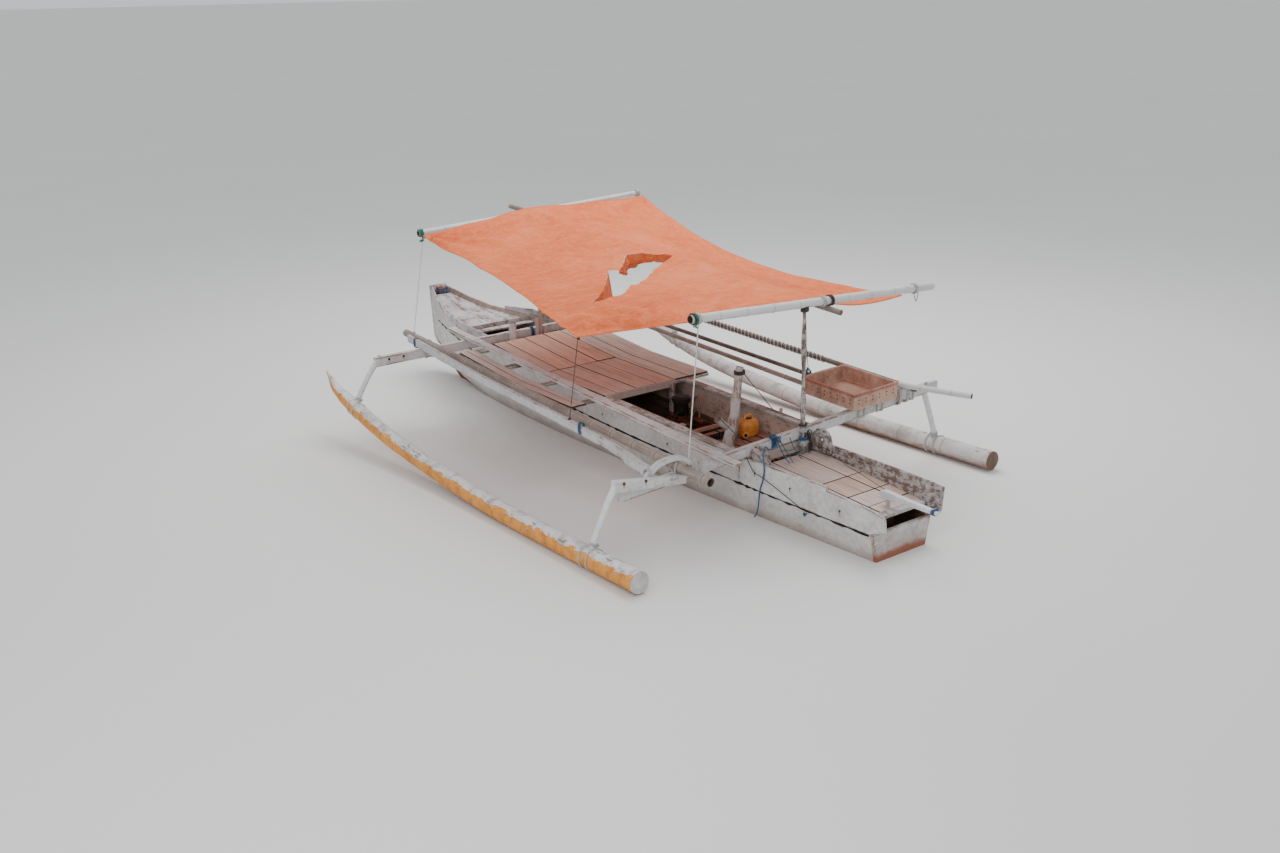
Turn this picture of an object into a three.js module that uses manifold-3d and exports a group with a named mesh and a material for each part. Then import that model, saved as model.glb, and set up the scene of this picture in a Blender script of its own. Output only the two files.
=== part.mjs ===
// A wooden outrigger canoe with an inboard engine, two floats and a sunshade on poles.
// Units are millimetres. +Y points to the bow, +X to starboard and +Z up.
// The origin lies on the centreline amidships, at the waterline.
import * as THREE from "three";
import { mergeVertices } from "three/addons/utils/BufferGeometryUtils.js";
import Module from "manifold-3d";

const wasm = await Module();
wasm.setup();

// Driving dimensions
const GAP = 0.3; // between two pieces that touch
const PLANK = 22; // hull planking
const KEEL_HALF = 35; // half the keel's width
const KEEL_DEEP = 45; // keel above and below the planks' edge
const BOW_Y = 3290; // fore end of the planking
const STERN_Y = -3310; // aft end of the planking
const BEAM_WIDE = 60; // both cross beams, along the boat
const BEAM_HIGH = 85;
const FORE_BEAM_Y = 1554;
const FORE_BEAM_TOP = 790;
const FORE_BEAM_REACH = 1676; // half its length
const AFT_BEAM_Y = -2040;
const AFT_BEAM_TOP = 590; // on the centreline
const AFT_BEAM_RISE = 0.05; // per millimetre to starboard
const AFT_BEAM_PORT = -1600;
const AFT_BEAM_STARBOARD = 1860;
const FLOAT_X = 1900;
const THWART_Y = [-335, 300, 880, 1380];
const THWART_HIGH = 28;
const THWART_WIDE = 60;
const DECK_THICK = 18;
const STOCK_Y = -3190; // rudder stock
const STOCK_R = 16;
const STOCK_BORE = (STOCK_R + GAP) / Math.cos(Math.PI / 12);
const SHAFT_R = 11;
const SHAFT_BORE = 18;
const SHAFT_FORE = new THREE.Vector3(0, -943, 93.7);
const SHAFT_AFT = new THREE.Vector3(0, -2890, -330);
const PROPELLER_R = 100;

// Hull stations from stern to bow. Columns: y, then keel z, chine x and z, seam x and z,
// gunwale x and z. The two rows beside the aft beam part the washboards from the strakes.
const STATIONS = [
  [STERN_Y, -140, 250, -75, 312, 226, 334, 455],
  [-2905, -163, 259, -84, 342, 250, 350, 455],
  [-2900, -163, 259, -84, 342, 250, 350, 486],
  [-2071, -207, 271, -98, 391, 282, 376, 490],
  [-2009, -210, 272, -99, 396, 285, 452, 522],
  [-1500, -230, 280, -105, 414, 305, 458, 545],
  [-500, -250, 283, -106, 424, 345, 460, 575],
  [500, -240, 272, -96, 408, 395, 460, 600],
  [FORE_BEAM_Y, -200, 228, -52, 352, 455, 462, 702.5],
  [2100, -150, 180, 0, 300, 505, 440, 742],
  [2800, 0, 118, 120, 186, 580, 252, 802],
  [BOW_Y, 300, 74, 390, 86, 650, 97, 940],
].map(([y, keelZ, chineX, chineZ, seamX, seamZ, gunwaleX, gunwaleZ]) => ({
  y,
  line: [
    [KEEL_HALF + GAP, keelZ],
    [chineX, chineZ],
    [seamX, seamZ],
    [gunwaleX, gunwaleZ],
  ],
}));
const BEFORE_BEAM = 4; // index of the station on the beam's fore side

// Both floats. Columns: y, centre z, radius.
const FLOAT_LINE = [
  [-2665, 95, 82],
  [-1600, 83, 78],
  [-700, 88, 76],
  [240, 150, 73],
  [900, 222, 71],
  [1400, 312, 69],
  [1750, 395, 62],
  [1960, 462, 44],
  [2118, 590, 9],
];

// Colours and finishes: colour, roughness, metalness
const FINISHES = {
  white_paint: [0xd6d3cb, 0.75, 0],
  bottom_paint: [0x8e5546, 0.8, 0],
  bare_wood: [0x8a7464, 0.85, 0],
  deck_wood: [0xa67b68, 0.85, 0],
  dark_wood: [0x4f3a32, 0.85, 0],
  bamboo: [0x97806d, 0.7, 0],
  tarp: [0xe88a62, 0.8, 0],
  crate: [0xb98f7d, 0.65, 0],
  can: [0xe39a25, 0.45, 0],
  engine: [0x3a2d29, 0.7, 0.4],
  steel: [0x7d7a76, 0.5, 0.8],
  rope: [0x2f5f8f, 0.9, 0],
};

const boat = new THREE.Group();

function add(name, finish, geometry) {
  const [color, roughness, metalness] = FINISHES[finish];
  const material = new THREE.MeshStandardMaterial({ color, roughness, metalness });
  const mesh = new THREE.Mesh(geometry, material);
  mesh.name = name;
  boat.add(mesh);
}

// Booleans
function solidOf(geometry) {
  const bare = geometry.clone();
  for (const name of Object.keys(bare.attributes)) {
    if (name !== "position") bare.deleteAttribute(name);
  }
  const merged = mergeVertices(bare, 1e-4);
  const mesh = new wasm.Mesh({
    numProp: 3,
    vertProperties: merged.attributes.position.array,
    triVerts: new Uint32Array(merged.index.array),
  });
  return new wasm.Manifold(mesh);
}

function geometryOf(solid) {
  const { vertProperties, triVerts } = solid.getMesh();
  const geometry = new THREE.BufferGeometry();
  geometry.setAttribute("position", new THREE.BufferAttribute(vertProperties, 3));
  geometry.setIndex(new THREE.BufferAttribute(triVerts, 1));
  return geometry;
}

function cut(geometry, ...cutters) {
  let solid = solidOf(geometry);
  for (const cutter of cutters) solid = solid.subtract(solidOf(cutter));
  return geometryOf(solid);
}

function join(...pieces) {
  let solid = solidOf(pieces[0]);
  for (const piece of pieces.slice(1)) solid = solid.add(solidOf(piece));
  return geometryOf(solid);
}

function within(geometry, room) {
  return geometryOf(solidOf(geometry).intersect(solidOf(room)));
}

// Skins a row of rings, each a closed loop of as many points, and closes both ends.
// A face whose index is in flipped is split along its other diagonal.
function loft(rings, flipped = []) {
  const count = rings[0].length;
  const positions = rings.flat().flatMap((p) => [p.x, p.y, p.z]);
  const index = [];
  for (let j = 0; j + 1 < rings.length; j += 1) {
    for (let k = 0; k < count; k += 1) {
      const a = j * count + k;
      const b = j * count + ((k + 1) % count);
      if (flipped.includes(k)) index.push(a, b, a + count, b, b + count, a + count);
      else index.push(a, b, b + count, a, b + count, a + count);
    }
  }
  const flat = flatRing(rings[0]);
  const cap = THREE.ShapeUtils.triangulateShape(flat, []);
  const last = (rings.length - 1) * count;
  for (const [a, b, c] of cap) {
    index.push(c, b, a);
    index.push(last + a, last + b, last + c);
  }
  const geometry = new THREE.BufferGeometry();
  geometry.setAttribute("position", new THREE.Float32BufferAttribute(positions, 3));
  geometry.setIndex(index);
  return facingOut(geometry, flat);
}

// A ring's points in its own plane, for the end caps
function flatRing(ring) {
  const normal = new THREE.Vector3();
  ring.forEach((p, i) => {
    normal.add(new THREE.Vector3().crossVectors(p, ring[(i + 1) % ring.length]));
  });
  const side = new THREE.Vector3().subVectors(ring[1], ring[0]).normalize();
  const up = new THREE.Vector3().crossVectors(normal.normalize(), side);
  return ring.map((p) => new THREE.Vector2(p.dot(side), p.dot(up)));
}

function facingOut(geometry) {
  const position = geometry.attributes.position;
  const index = geometry.index.array;
  const [a, b, c] = [new THREE.Vector3(), new THREE.Vector3(), new THREE.Vector3()];
  let volume = 0;
  for (let i = 0; i < index.length; i += 3) {
    a.fromBufferAttribute(position, index[i]);
    b.fromBufferAttribute(position, index[i + 1]);
    c.fromBufferAttribute(position, index[i + 2]);
    volume += a.dot(b.cross(c));
  }
  if (volume < 0) index.reverse();
  return geometry;
}

// Simple forms
function block(x0, x1, y0, y1, z0, z1) {
  const box = new THREE.BoxGeometry(x1 - x0, y1 - y0, z1 - z0);
  return box.translate((x0 + x1) / 2, (y0 + y1) / 2, (z0 + z1) / 2);
}

// A round pole through points, each with its own radius
function pole(points, radii, sides = 10) {
  const rings = points.map((point, i) => {
    const before = points[Math.max(i - 1, 0)];
    const after = points[Math.min(i + 1, points.length - 1)];
    const along = new THREE.Vector3().subVectors(after, before).normalize();
    const up = Math.abs(along.z) > 0.9 ? new THREE.Vector3(0, 1, 0) : new THREE.Vector3(0, 0, 1);
    const side = new THREE.Vector3().crossVectors(along, up).normalize();
    const top = new THREE.Vector3().crossVectors(side, along);
    return Array.from({ length: sides }, (_, k) => {
      const turn = ((k + 0.5) / sides) * Math.PI * 2;
      return point
        .clone()
        .addScaledVector(side, Math.cos(turn) * radii[i])
        .addScaledVector(top, Math.sin(turn) * radii[i]);
    });
  });
  return loft(rings);
}

function rod(from, to, radius, sides = 10) {
  return pole([from, to], [radius, radius], sides);
}

// An outline in the YZ plane, extruded from x0 to x1
function sideExtrude(outline, x0, x1) {
  const rings = [x0, x1].map((x) => outline.map(([y, z]) => new THREE.Vector3(x, y, z)));
  return loft(rings);
}

// An outline in the XZ plane, extruded from y0 to y1
function crossExtrude(outline, y0, y1) {
  const rings = [y0, y1].map((y) => outline.map(([x, z]) => new THREE.Vector3(x, y, z)));
  return loft(rings);
}

const at = (x, y, z) => new THREE.Vector3(x, y, z);
const mirrored = (geometry) => {
  const copy = geometry.clone().scale(-1, 1, 1);
  return facingOut(copy);
};

// The hull's section line moved inwards by a distance, its ends level with the keel's
// side and with the gunwale
function insetLine(line, distance) {
  const normals = line.slice(1).map(([x, z], i) => {
    const run = new THREE.Vector2(x - line[i][0], z - line[i][1]).normalize();
    return new THREE.Vector2(-run.y, run.x);
  });
  return line.map(([x, z], i) => {
    if (i === 0) return [x, z + distance / normals[0].y];
    if (i === line.length - 1) return [x + distance / normals[i - 1].x, z];
    const mean = new THREE.Vector2().addVectors(normals[i - 1], normals[i]).normalize();
    const reach = distance / mean.dot(normals[i]);
    return [x + mean.x * reach, z + mean.y * reach];
  });
}

function stationAt(y) {
  const next = STATIONS.findIndex((row) => row.y >= y);
  if (next <= 0) return STATIONS[0].line;
  const before = STATIONS[next - 1];
  const after = STATIONS[next];
  const share = (y - before.y) / (after.y - before.y);
  return before.line.map(([x, z], i) => [
    x + (after.line[i][0] - x) * share,
    z + (after.line[i][1] - z) * share,
  ]);
}

const gunwaleX = (y) => stationAt(y)[3][0];
const gunwaleZ = (y) => stationAt(y)[3][1];
const keelZ = (y) => stationAt(y)[0][1];

// One run of planks between two lines of the section table
function strake(rows, low) {
  const rings = rows.map(({ y, line }) => {
    const inner = insetLine(line, PLANK);
    const [x0, z0] = line[low];
    const [x1, z1] = line[low + 1];
    const seam = new THREE.Vector2(x1 - x0, z1 - z0).normalize().multiplyScalar(GAP / 2);
    const place = ([x, z], sign) => at(x + seam.x * sign, y, z + seam.y * sign);
    return [
      place(line[low], 1),
      place(line[low + 1], -1),
      place(inner[low + 1], -1),
      place(inner[low], 1),
    ];
  });
  return loft(rings, [3]);
}

// The room inside the planking, from keel to gunwale
function hullRoom() {
  const rings = STATIONS.map(({ y, line }) => {
    const inner = insetLine(line, PLANK + GAP);
    const starboard = inner.map(([x, z]) => at(x, y, z));
    const port = inner.map(([x, z]) => at(-x, y, z)).reverse();
    return [...starboard, ...port];
  });
  return loft(rings, [0, 1, 2]);
}

// Hull shell. The washboards run on past the stern. Inside their fore ends stand the
// cheek plates, each with a hole for a line.
const WASHBOARD_END = { y: -3450, line: [[35, -140], [262, 20], [306, 352], [322, 417]] };
const CHEEK = { low: 410, high: 606, fore: -2075, aft: -2290, thick: 24, holeZ: 509, hole: 17 };
const cheekMid = (CHEEK.fore + CHEEK.aft) / 2;
const cheekRound = Array.from({ length: 7 }, (_, i) => {
  const turn = (i / 6) * Math.PI;
  const rise = Math.sin(turn) * (CHEEK.high - 500);
  return [cheekMid + (Math.cos(turn) * (CHEEK.fore - CHEEK.aft)) / 2, 500 + rise];
});
const cheekOutline = [...cheekRound, [CHEEK.aft, CHEEK.low], [CHEEK.fore, CHEEK.low]];
const cheekX = insetLine(stationAt(CHEEK.aft), PLANK)[3][0] - GAP;
const cheekHole = rod(at(0, cheekMid, CHEEK.holeZ), at(600, cheekMid, CHEEK.holeZ), CHEEK.hole, 10);
const cheek = cut(sideExtrude(cheekOutline, cheekX - CHEEK.thick, cheekX), cheekHole);
const washboard = strake([WASHBOARD_END, ...STATIONS.slice(0, BEFORE_BEAM)], 2);

const sides = [
  ["starboard", (g) => g],
  ["port", mirrored],
];
const planked = [STATIONS[0], ...STATIONS.slice(3)];
for (const [side, turn] of sides) {
  add(`side_planks_${side}`, "white_paint", turn(strake(planked, 1)));
  add(`upper_strake_${side}`, "white_paint", turn(strake(STATIONS.slice(BEFORE_BEAM), 2)));
  add(`washboard_${side}`, "white_paint", turn(washboard));
  add(`cheek_plate_${side}`, "white_paint", turn(cheek));
}

const room = hullRoom();
const shaftWay = new THREE.Vector3().subVectors(SHAFT_AFT, SHAFT_FORE).normalize();
const shaftHole = rod(
  SHAFT_FORE.clone().lerp(SHAFT_AFT, 0.2),
  SHAFT_FORE.clone().lerp(SHAFT_AFT, 1.05),
  SHAFT_BORE,
  12,
);
const stockHole = rod(at(0, STOCK_Y, -500), at(0, STOCK_Y, 500), STOCK_BORE, 12);

// Keel and stem in one profile
const keelRows = STATIONS.filter(({ y }) => y !== -2905 && y !== -2009);
const keelLow = keelRows.map(({ y, line }) => [y, line[0][1] - KEEL_DEEP]);
const keelHigh = keelRows.slice(0, -1).map(({ y, line }) => [y, line[0][1] + KEEL_DEEP]);
const stemFoot = [BOW_Y - 70, keelZ(BOW_Y - 70) + KEEL_DEEP];
const keelOutline = [...keelLow, [BOW_Y, 930], [BOW_Y - 70, 915], stemFoot, ...keelHigh.reverse()];
const keelSide = KEEL_HALF + 2 * GAP;
const keel = sideExtrude(keelOutline, -keelSide, keelSide);
const keelGrown = sideExtrude(
  [...keelLow, [BOW_Y, 930], [BOW_Y - 80, 915], [BOW_Y - 80, stemFoot[1]], ...keelOverhead()],
  -keelSide - GAP,
  keelSide + GAP,
);
function keelOverhead() {
  return keelHigh.map(([y, z]) => [y, z + GAP]);
}
const bottomPlanks = strake(planked, 0);
// Bracket under the keel that carries the propeller shaft
const strutPoint = SHAFT_FORE.clone().lerp(SHAFT_AFT, 0.93);
const strutEnds = [-25, 25].map((d) => strutPoint.clone().addScaledVector(shaftWay, d));
const strutRing = rod(...strutEnds, 27, 14);
const strutTop = keelZ(strutPoint.y) - KEEL_DEEP + 5;
const [strutAft, strutFore] = [strutPoint.y - 20, strutPoint.y + 20];
const strutLeg = block(-6, 6, strutAft, strutFore, strutPoint.z, strutTop);
const strutBore = (SHAFT_R + GAP) / Math.cos(Math.PI / 14);
const strut = cut(join(strutRing, strutLeg), rod(SHAFT_FORE, SHAFT_AFT, strutBore, 14));
const shell = join(keel, bottomPlanks, mirrored(bottomPlanks));
add("hull_bottom", "bottom_paint", join(cut(shell, shaftHole, stockHole), strut));

const endOutline = (line) => [...line, ...line.map(([x, z]) => [-x, z]).reverse()];
const sternLine = STATIONS[0].line;
const transomLine = [[0, sternLine[0][1] - KEEL_DEEP], ...sternLine.slice(1, 3)];
const transomOutline = [...transomLine, ...transomLine.slice(1).map(([x, z]) => [-x, z]).reverse()];
add("transom", "white_paint", crossExtrude(transomOutline, STERN_Y - GAP - 26, STERN_Y - GAP));

const bowLine = STATIONS[STATIONS.length - 1].line;
const headLine = [...bowLine.slice(0, 3), [99, 950]];
add("bow_head", "white_paint", crossExtrude(endOutline(headLine), BOW_Y + GAP, BOW_Y + 42));

// Frame under the aft beam, with its middle open
const aftBeamTop = (x) => AFT_BEAM_TOP + AFT_BEAM_RISE * x;
const aftFrameTop = [
  [-600, -400],
  [600, -400],
  [600, aftBeamTop(600) - BEAM_HIGH - GAP],
  [-600, aftBeamTop(-600) - BEAM_HIGH - GAP],
];
const aftFrame = within(crossExtrude(aftFrameTop, AFT_BEAM_Y - 20, AFT_BEAM_Y + 20), room);
const aftFrameOpening = block(-250, 250, AFT_BEAM_Y - 30, AFT_BEAM_Y + 30, 0, 410);
add("aft_frame", "bare_wood", cut(aftFrame, aftFrameOpening, keelGrown, shaftHole));

// Thwart before the fore beam, which carries the posts; two of them are thin and part of it
const POST_THWART = { low: 600, high: 630, aft: 1448, fore: 1522 };
const POST_Y = 1492;
const thinPosts = [
  [70, 887],
  [160, 800],
].map(([x, top]) => rod(at(x, POST_Y, POST_THWART.high - 5), at(x, POST_Y, top), 17, 10));
const postBoard = block(-600, 600, POST_THWART.aft, POST_THWART.fore, POST_THWART.low, POST_THWART.high);
add("post_thwart", "bare_wood", join(within(postBoard, room), ...thinPosts));

// Decks
const deckLow = (y) => gunwaleZ(y) + GAP + THWART_HIGH + GAP;
// An outline that follows the gunwales between two places, some way above them
function overGunwales(aft, fore, low, high) {
  const ys = [aft, ...STATIONS.map((row) => row.y).filter((y) => y > aft && y < fore), fore];
  const under = ys.map((y) => [y, gunwaleZ(y) + low]);
  const over = ys.map((y) => [y, gunwaleZ(y) + high]).reverse();
  return [...under, ...over];
}
const thwarts = THWART_Y.map((y) => {
  const [aft, fore] = [y - THWART_WIDE / 2, y + THWART_WIDE / 2];
  return sideExtrude(overGunwales(aft, fore, GAP, GAP + THWART_HIGH), -890, 705);
});
// The thwarts stand on a cap along each gunwale, which is also the engine well's coaming
const cap = sideExtrude(overGunwales(-2005, 1440, GAP, GAP + THWART_HIGH), 400, 472);
add("deck_frame", "white_paint", join(cap, mirrored(cap), ...thwarts));
// Columns: name, finish, x from, x to, y aft, y fore
const DECKS = [
  ["centre_deck", "deck_wood", -480, 298, -360, 1440],
  ["side_deck_starboard", "bare_wood", 300, 705, -360, 1440],
  ["side_deck_port", "bare_wood", -880, -720, -430, 1390],
];
for (const [name, finish, x0, x1, aft, fore] of DECKS) {
  const ys = [aft, 500, fore];
  const low = ys.map((y) => [y, deckLow(y)]);
  const high = ys.map((y) => [y, deckLow(y) + DECK_THICK]).reverse();
  add(name, finish, sideExtrude([...low, ...high], x0, x1));
}

const slab = (points, thick, half) => {
  const high = points.map(([y, z]) => [y, z]);
  const low = points.map(([y, z]) => [y, z - thick]).reverse();
  return sideExtrude([...high, ...low], -half, half);
};
const foredeck = slab([[2040, 700], [2800, 760], [BOW_Y - 72, 862]], 18, 600);
add("foredeck", "white_paint", within(foredeck, room));
const AFT_DECK = { aft: -3225, fore: -2085, aftZ: 322, foreZ: 398, thick: 20 };
const aftDeckZ = (y) => {
  const share = (y - AFT_DECK.aft) / (AFT_DECK.fore - AFT_DECK.aft);
  return AFT_DECK.aftZ + (AFT_DECK.foreZ - AFT_DECK.aftZ) * share;
};
const aftDeckLine = [AFT_DECK.aft, AFT_DECK.fore].map((y) => [y, aftDeckZ(y)]);
const aftDeck = within(slab(aftDeckLine, AFT_DECK.thick, 600), room);
// The rudder's stock turns in a trunk between this deck and the keel
const trunkLow = keelZ(STOCK_Y) + KEEL_DEEP + 4;
const trunkHigh = aftDeckZ(STOCK_Y) - 8;
const trunk = block(-34, 34, STOCK_Y - 34, STOCK_Y + 34, trunkLow, trunkHigh);
add("aft_deck", "deck_wood", cut(join(aftDeck, trunk), stockHole));
const FLOOR_Z = 374;
const floorBoards = slab([[-2015, FLOOR_Z], [-1290, FLOOR_Z]], 18, 600);
const floorEdge = block(-600, 600, -1330, -1270, 350, 430);
add("floor_boards", "deck_wood", within(join(floorBoards, floorEdge), room));

// Coaming round the foredeck's after half: a board on each gunwale and one across
const coamingBoard = [[1590, 80], [2100, 74], [2480, 30]].map(([y, high]) => {
  const [x, z] = [gunwaleX(y), gunwaleZ(y) + GAP];
  return [at(x - 20, y, z), at(x, y, z), at(x, y, z + high), at(x - 20, y, z + high)];
});
const coaming = loft(coamingBoard);
const acrossZ = gunwaleZ(2030) + GAP;
const across = block(-432, 432, 2010, 2030, acrossZ, acrossZ + 40);
add("foredeck_coaming", "white_paint", join(coaming, mirrored(coaming), across));

// Cross beams
const beamRing = (x, y, top, grow) => {
  const [half, low] = [BEAM_WIDE / 2 + grow, top - BEAM_HIGH - grow];
  return [
    at(x, y - half, low),
    at(x, y + half, low),
    at(x, y + half, top + grow),
    at(x, y - half, top + grow),
  ];
};
const foreBeam = (grow = 0) =>
  loft([-1, 1].map((s) => beamRing(s * (FORE_BEAM_REACH + grow), FORE_BEAM_Y, FORE_BEAM_TOP, grow)));
const aftBeam = (grow = 0) =>
  loft(
    [AFT_BEAM_PORT - grow, AFT_BEAM_STARBOARD + grow].map((x) =>
      beamRing(x, AFT_BEAM_Y, aftBeamTop(x), grow),
    ),
  );
add("fore_beam", "white_paint", foreBeam());
// A block on the aft beam's starboard end carries the short pole
const BEAM_BLOCK = { x0: 1325, x1: 1468, low: 600, high: 712, aft: 60, fore: 30 };
const beamBlock = block(
  BEAM_BLOCK.x0,
  BEAM_BLOCK.x1,
  AFT_BEAM_Y - BEAM_BLOCK.aft,
  AFT_BEAM_Y + BEAM_BLOCK.fore,
  BEAM_BLOCK.low,
  BEAM_BLOCK.high,
);
add("aft_beam", "white_paint", join(aftBeam(), beamBlock));

// The piece bolted to the aft side of the aft beam's port end
const ENDPIECE_Y = AFT_BEAM_Y - BEAM_WIDE / 2 - GAP - 28;
const endPiece = (grow = 0) =>
  loft(
    [
      [-1690 - grow, 535, 625],
      [-1560, 520, 606],
      [-1120, 468, 532],
      [-1030 + grow, 455, 522],
    ].map(([x, low, high]) => [
      at(x, ENDPIECE_Y - 28 - grow, low - grow),
      at(x, ENDPIECE_Y + 28 + grow, low - grow),
      at(x, ENDPIECE_Y + 28 + grow, high + grow),
      at(x, ENDPIECE_Y - 28 - grow, high + grow),
    ]),
  );
add("beam_end_port", "white_paint", endPiece());

// Floats and the legs that carry them
const floatCurve = new THREE.CatmullRomCurve3(
  FLOAT_LINE.map(([y, z]) => at(0, y, z)),
  false,
  "centripetal",
);
const FLOAT_STEPS = 20;
function floatRadius(y) {
  const next = Math.max(FLOAT_LINE.findIndex((row) => row[0] >= y), 1);
  const [[y0, , r0], [y1, , r1]] = [FLOAT_LINE[next - 1], FLOAT_LINE[next]];
  return r0 + ((r1 - r0) * (y - y0)) / (y1 - y0);
}
function float(x, grow = 0) {
  const points = floatCurve.getSpacedPoints(FLOAT_STEPS);
  const radii = points.map((p) => floatRadius(Math.min(p.y, FLOAT_LINE.at(-1)[0])) + grow);
  return pole(points.map((p) => at(x, p.y, p.z)), radii, 14);
}
const floatZ = (y) => {
  const points = floatCurve.getSpacedPoints(200);
  return points.reduce((a, b) => (Math.abs(b.y - y) < Math.abs(a.y - y) ? b : a)).z;
};
for (const [side, sign] of [["starboard", 1], ["port", -1]]) {
  add(`float_${side}`, "white_paint", float(sign * FLOAT_X));
}
// Columns: name, top x, y, top z
const LEGS = [
  ["leg_fore_starboard", 1645, FORE_BEAM_Y, 755],
  ["leg_fore_port", -1645, FORE_BEAM_Y, 755],
  ["leg_aft_starboard", 1690, AFT_BEAM_Y, 640],
  ["leg_aft_port", -1660, ENDPIECE_Y, 580],
];
for (const [name, x, y, z] of LEGS) {
  const foot = Math.sign(x) * (FLOAT_X + 4);
  const leg = rod(at(x, y, z), at(foot, y, floatZ(y)), 26);
  const grown = [foreBeam(GAP), aftBeam(GAP), endPiece(GAP), float(Math.sign(x) * FLOAT_X, GAP)];
  add(name, "white_paint", cut(leg, ...grown));
}

// Poles and planks that lie along the boat on both beams.
// Columns: name, finish, x fore, x aft, y fore end, y aft end, radius
const POLES = [
  ["bamboo_port", "bamboo", -1120, -1052, 1960, -2420, 36],
  ["bamboo_starboard", "bamboo", 960, 900, 1800, -2110, 22],
  ["pole_starboard_middle", "dark_wood", 1110, 1120, 1820, -2100, 20],
  ["pole_starboard_outer", "dark_wood", 1540, 1500, 1860, -2130, 24],
];
const POLE_SIDES = 12;
const FORE_REST_Y = FORE_BEAM_Y - BEAM_WIDE / 2;
const AFT_REST_Y = AFT_BEAM_Y - BEAM_WIDE / 2;
// The line on which a piece rests on both beams; reach is its half width
function restLine(xFore, xAft, reach, aftRest = AFT_REST_Y) {
  const fore = at(xFore, FORE_REST_Y, FORE_BEAM_TOP + GAP);
  const aft = at(xAft, aftRest, aftBeamTop(xAft + reach) + GAP);
  return (y) => fore.clone().lerp(aft, (y - FORE_REST_Y) / (aftRest - FORE_REST_Y));
}
for (const [name, finish, xFore, xAft, yFore, yAft, radius] of POLES) {
  const line = restLine(xFore, xAft, 0);
  const lift = radius * Math.cos(Math.PI / POLE_SIDES) + 2 * GAP;
  const [fore, aft] = [yFore, yAft].map((y) => line(y).add(at(0, 0, lift)));
  add(name, finish, rod(fore, aft, radius, POLE_SIDES));
}
// A plank of rings along the resting line. Columns: y, x, half width, height
function restingPlank(rows, line) {
  return loft(
    rows.map(([y, x, half, high]) => {
      const { z } = line(y);
      return [
        at(x - half, y, z),
        at(x + half, y, z),
        at(x + half, y, z + high),
        at(x - half, y, z + high),
      ];
    }),
  );
}
const stringerRows = [[-2300, -670, 48, 30], [1900, -670, 48, 30]];
add("stringer_port", "white_paint", restingPlank(stringerRows, restLine(-670, -670, 48)));
const RAIL_END = AFT_BEAM_Y + BEAM_WIDE / 2 - 4;
const railRows = [
  [RAIL_END, -1290, 20, 42],
  [-1500, -1215, 14, 44],
  [-1490, -1214, 14, 72],
  [1800, -1190, 14, 72],
];
add("rail_port", "white_paint", restingPlank(railRows, restLine(-1190, -1290, 20, RAIL_END)));

// Knee that arches over the port bamboo on the aft beam
const kneeCentre = [
  [-1350, 540],
  [-1245, 622],
  [-1126, 654],
  [-1010, 636],
  [-925, 560],
];
const kneeOuter = kneeCentre.map(([x, z]) => [x, z + 21]);
const kneeInner = kneeCentre.map(([x, z]) => [x, z - 21]).reverse();
const kneeRaw = crossExtrude([...kneeOuter, ...kneeInner], AFT_BEAM_Y - 24, AFT_BEAM_Y + 24);
add("beam_knee_port", "white_paint", cut(kneeRaw, aftBeam(GAP)));

// The short pole on the aft beam's starboard end
const SHORT_POLE_R = 25;
const shortPoleZ = BEAM_BLOCK.high + SHORT_POLE_R + 2;
add(
  "short_pole_starboard",
  "bamboo",
  rod(at(1345, -1985, shortPoleZ), at(1590, -2650, shortPoleZ - 14), SHORT_POLE_R, 12),
);

// Engine on its bed
const ENGINE = { x0: -130, x1: 190, y0: -940, y1: -560, z0: 80, z1: 400 };
const bedFloors = [-1120, -520].map((y) => within(block(-600, 600, y - 20, y + 20, -400, 20), room));
const bearers = [-110, 110].map((x) => block(x - 25, x + 25, -1180, -460, 10, ENGINE.z0 - GAP));
add("engine_bed", "bare_wood", cut(join(...bedFloors, ...bearers), keelGrown));
const engineBlock = block(ENGINE.x0, ENGINE.x1, ENGINE.y0, ENGINE.y1, ENGINE.z0, ENGINE.z1);
add("engine_block", "engine", engineBlock);
const CLEANER = { x: 150, y: -640, top: 560, r: 75 };
const cleanerFoot = at(CLEANER.x, CLEANER.y, ENGINE.z1 + GAP);
const cleaner = rod(cleanerFoot, at(CLEANER.x, CLEANER.y, CLEANER.top), CLEANER.r, 16);
add("engine_air_cleaner", "engine", cleaner);

// Propeller shaft and propeller in one
const shaftTurn = new THREE.Quaternion().setFromUnitVectors(at(0, 0, 1), shaftWay);
const hub = new THREE.CylinderGeometry(20, 26, 70, 14).rotateX(Math.PI / 2);
const blades = [0, 1, 2].map((i) =>
  new THREE.BoxGeometry(62, PROPELLER_R - 8, 7)
    .translate(0, PROPELLER_R / 2 + 4, 0)
    .rotateY(0.5)
    .rotateZ((i * Math.PI * 2) / 3),
);
const propeller = join(hub, ...blades)
  .applyQuaternion(shaftTurn)
  .translate(...SHAFT_AFT.clone().addScaledVector(shaftWay, 30).toArray());
add("propeller", "steel", join(rod(SHAFT_FORE, SHAFT_AFT, SHAFT_R, 12), propeller));

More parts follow.
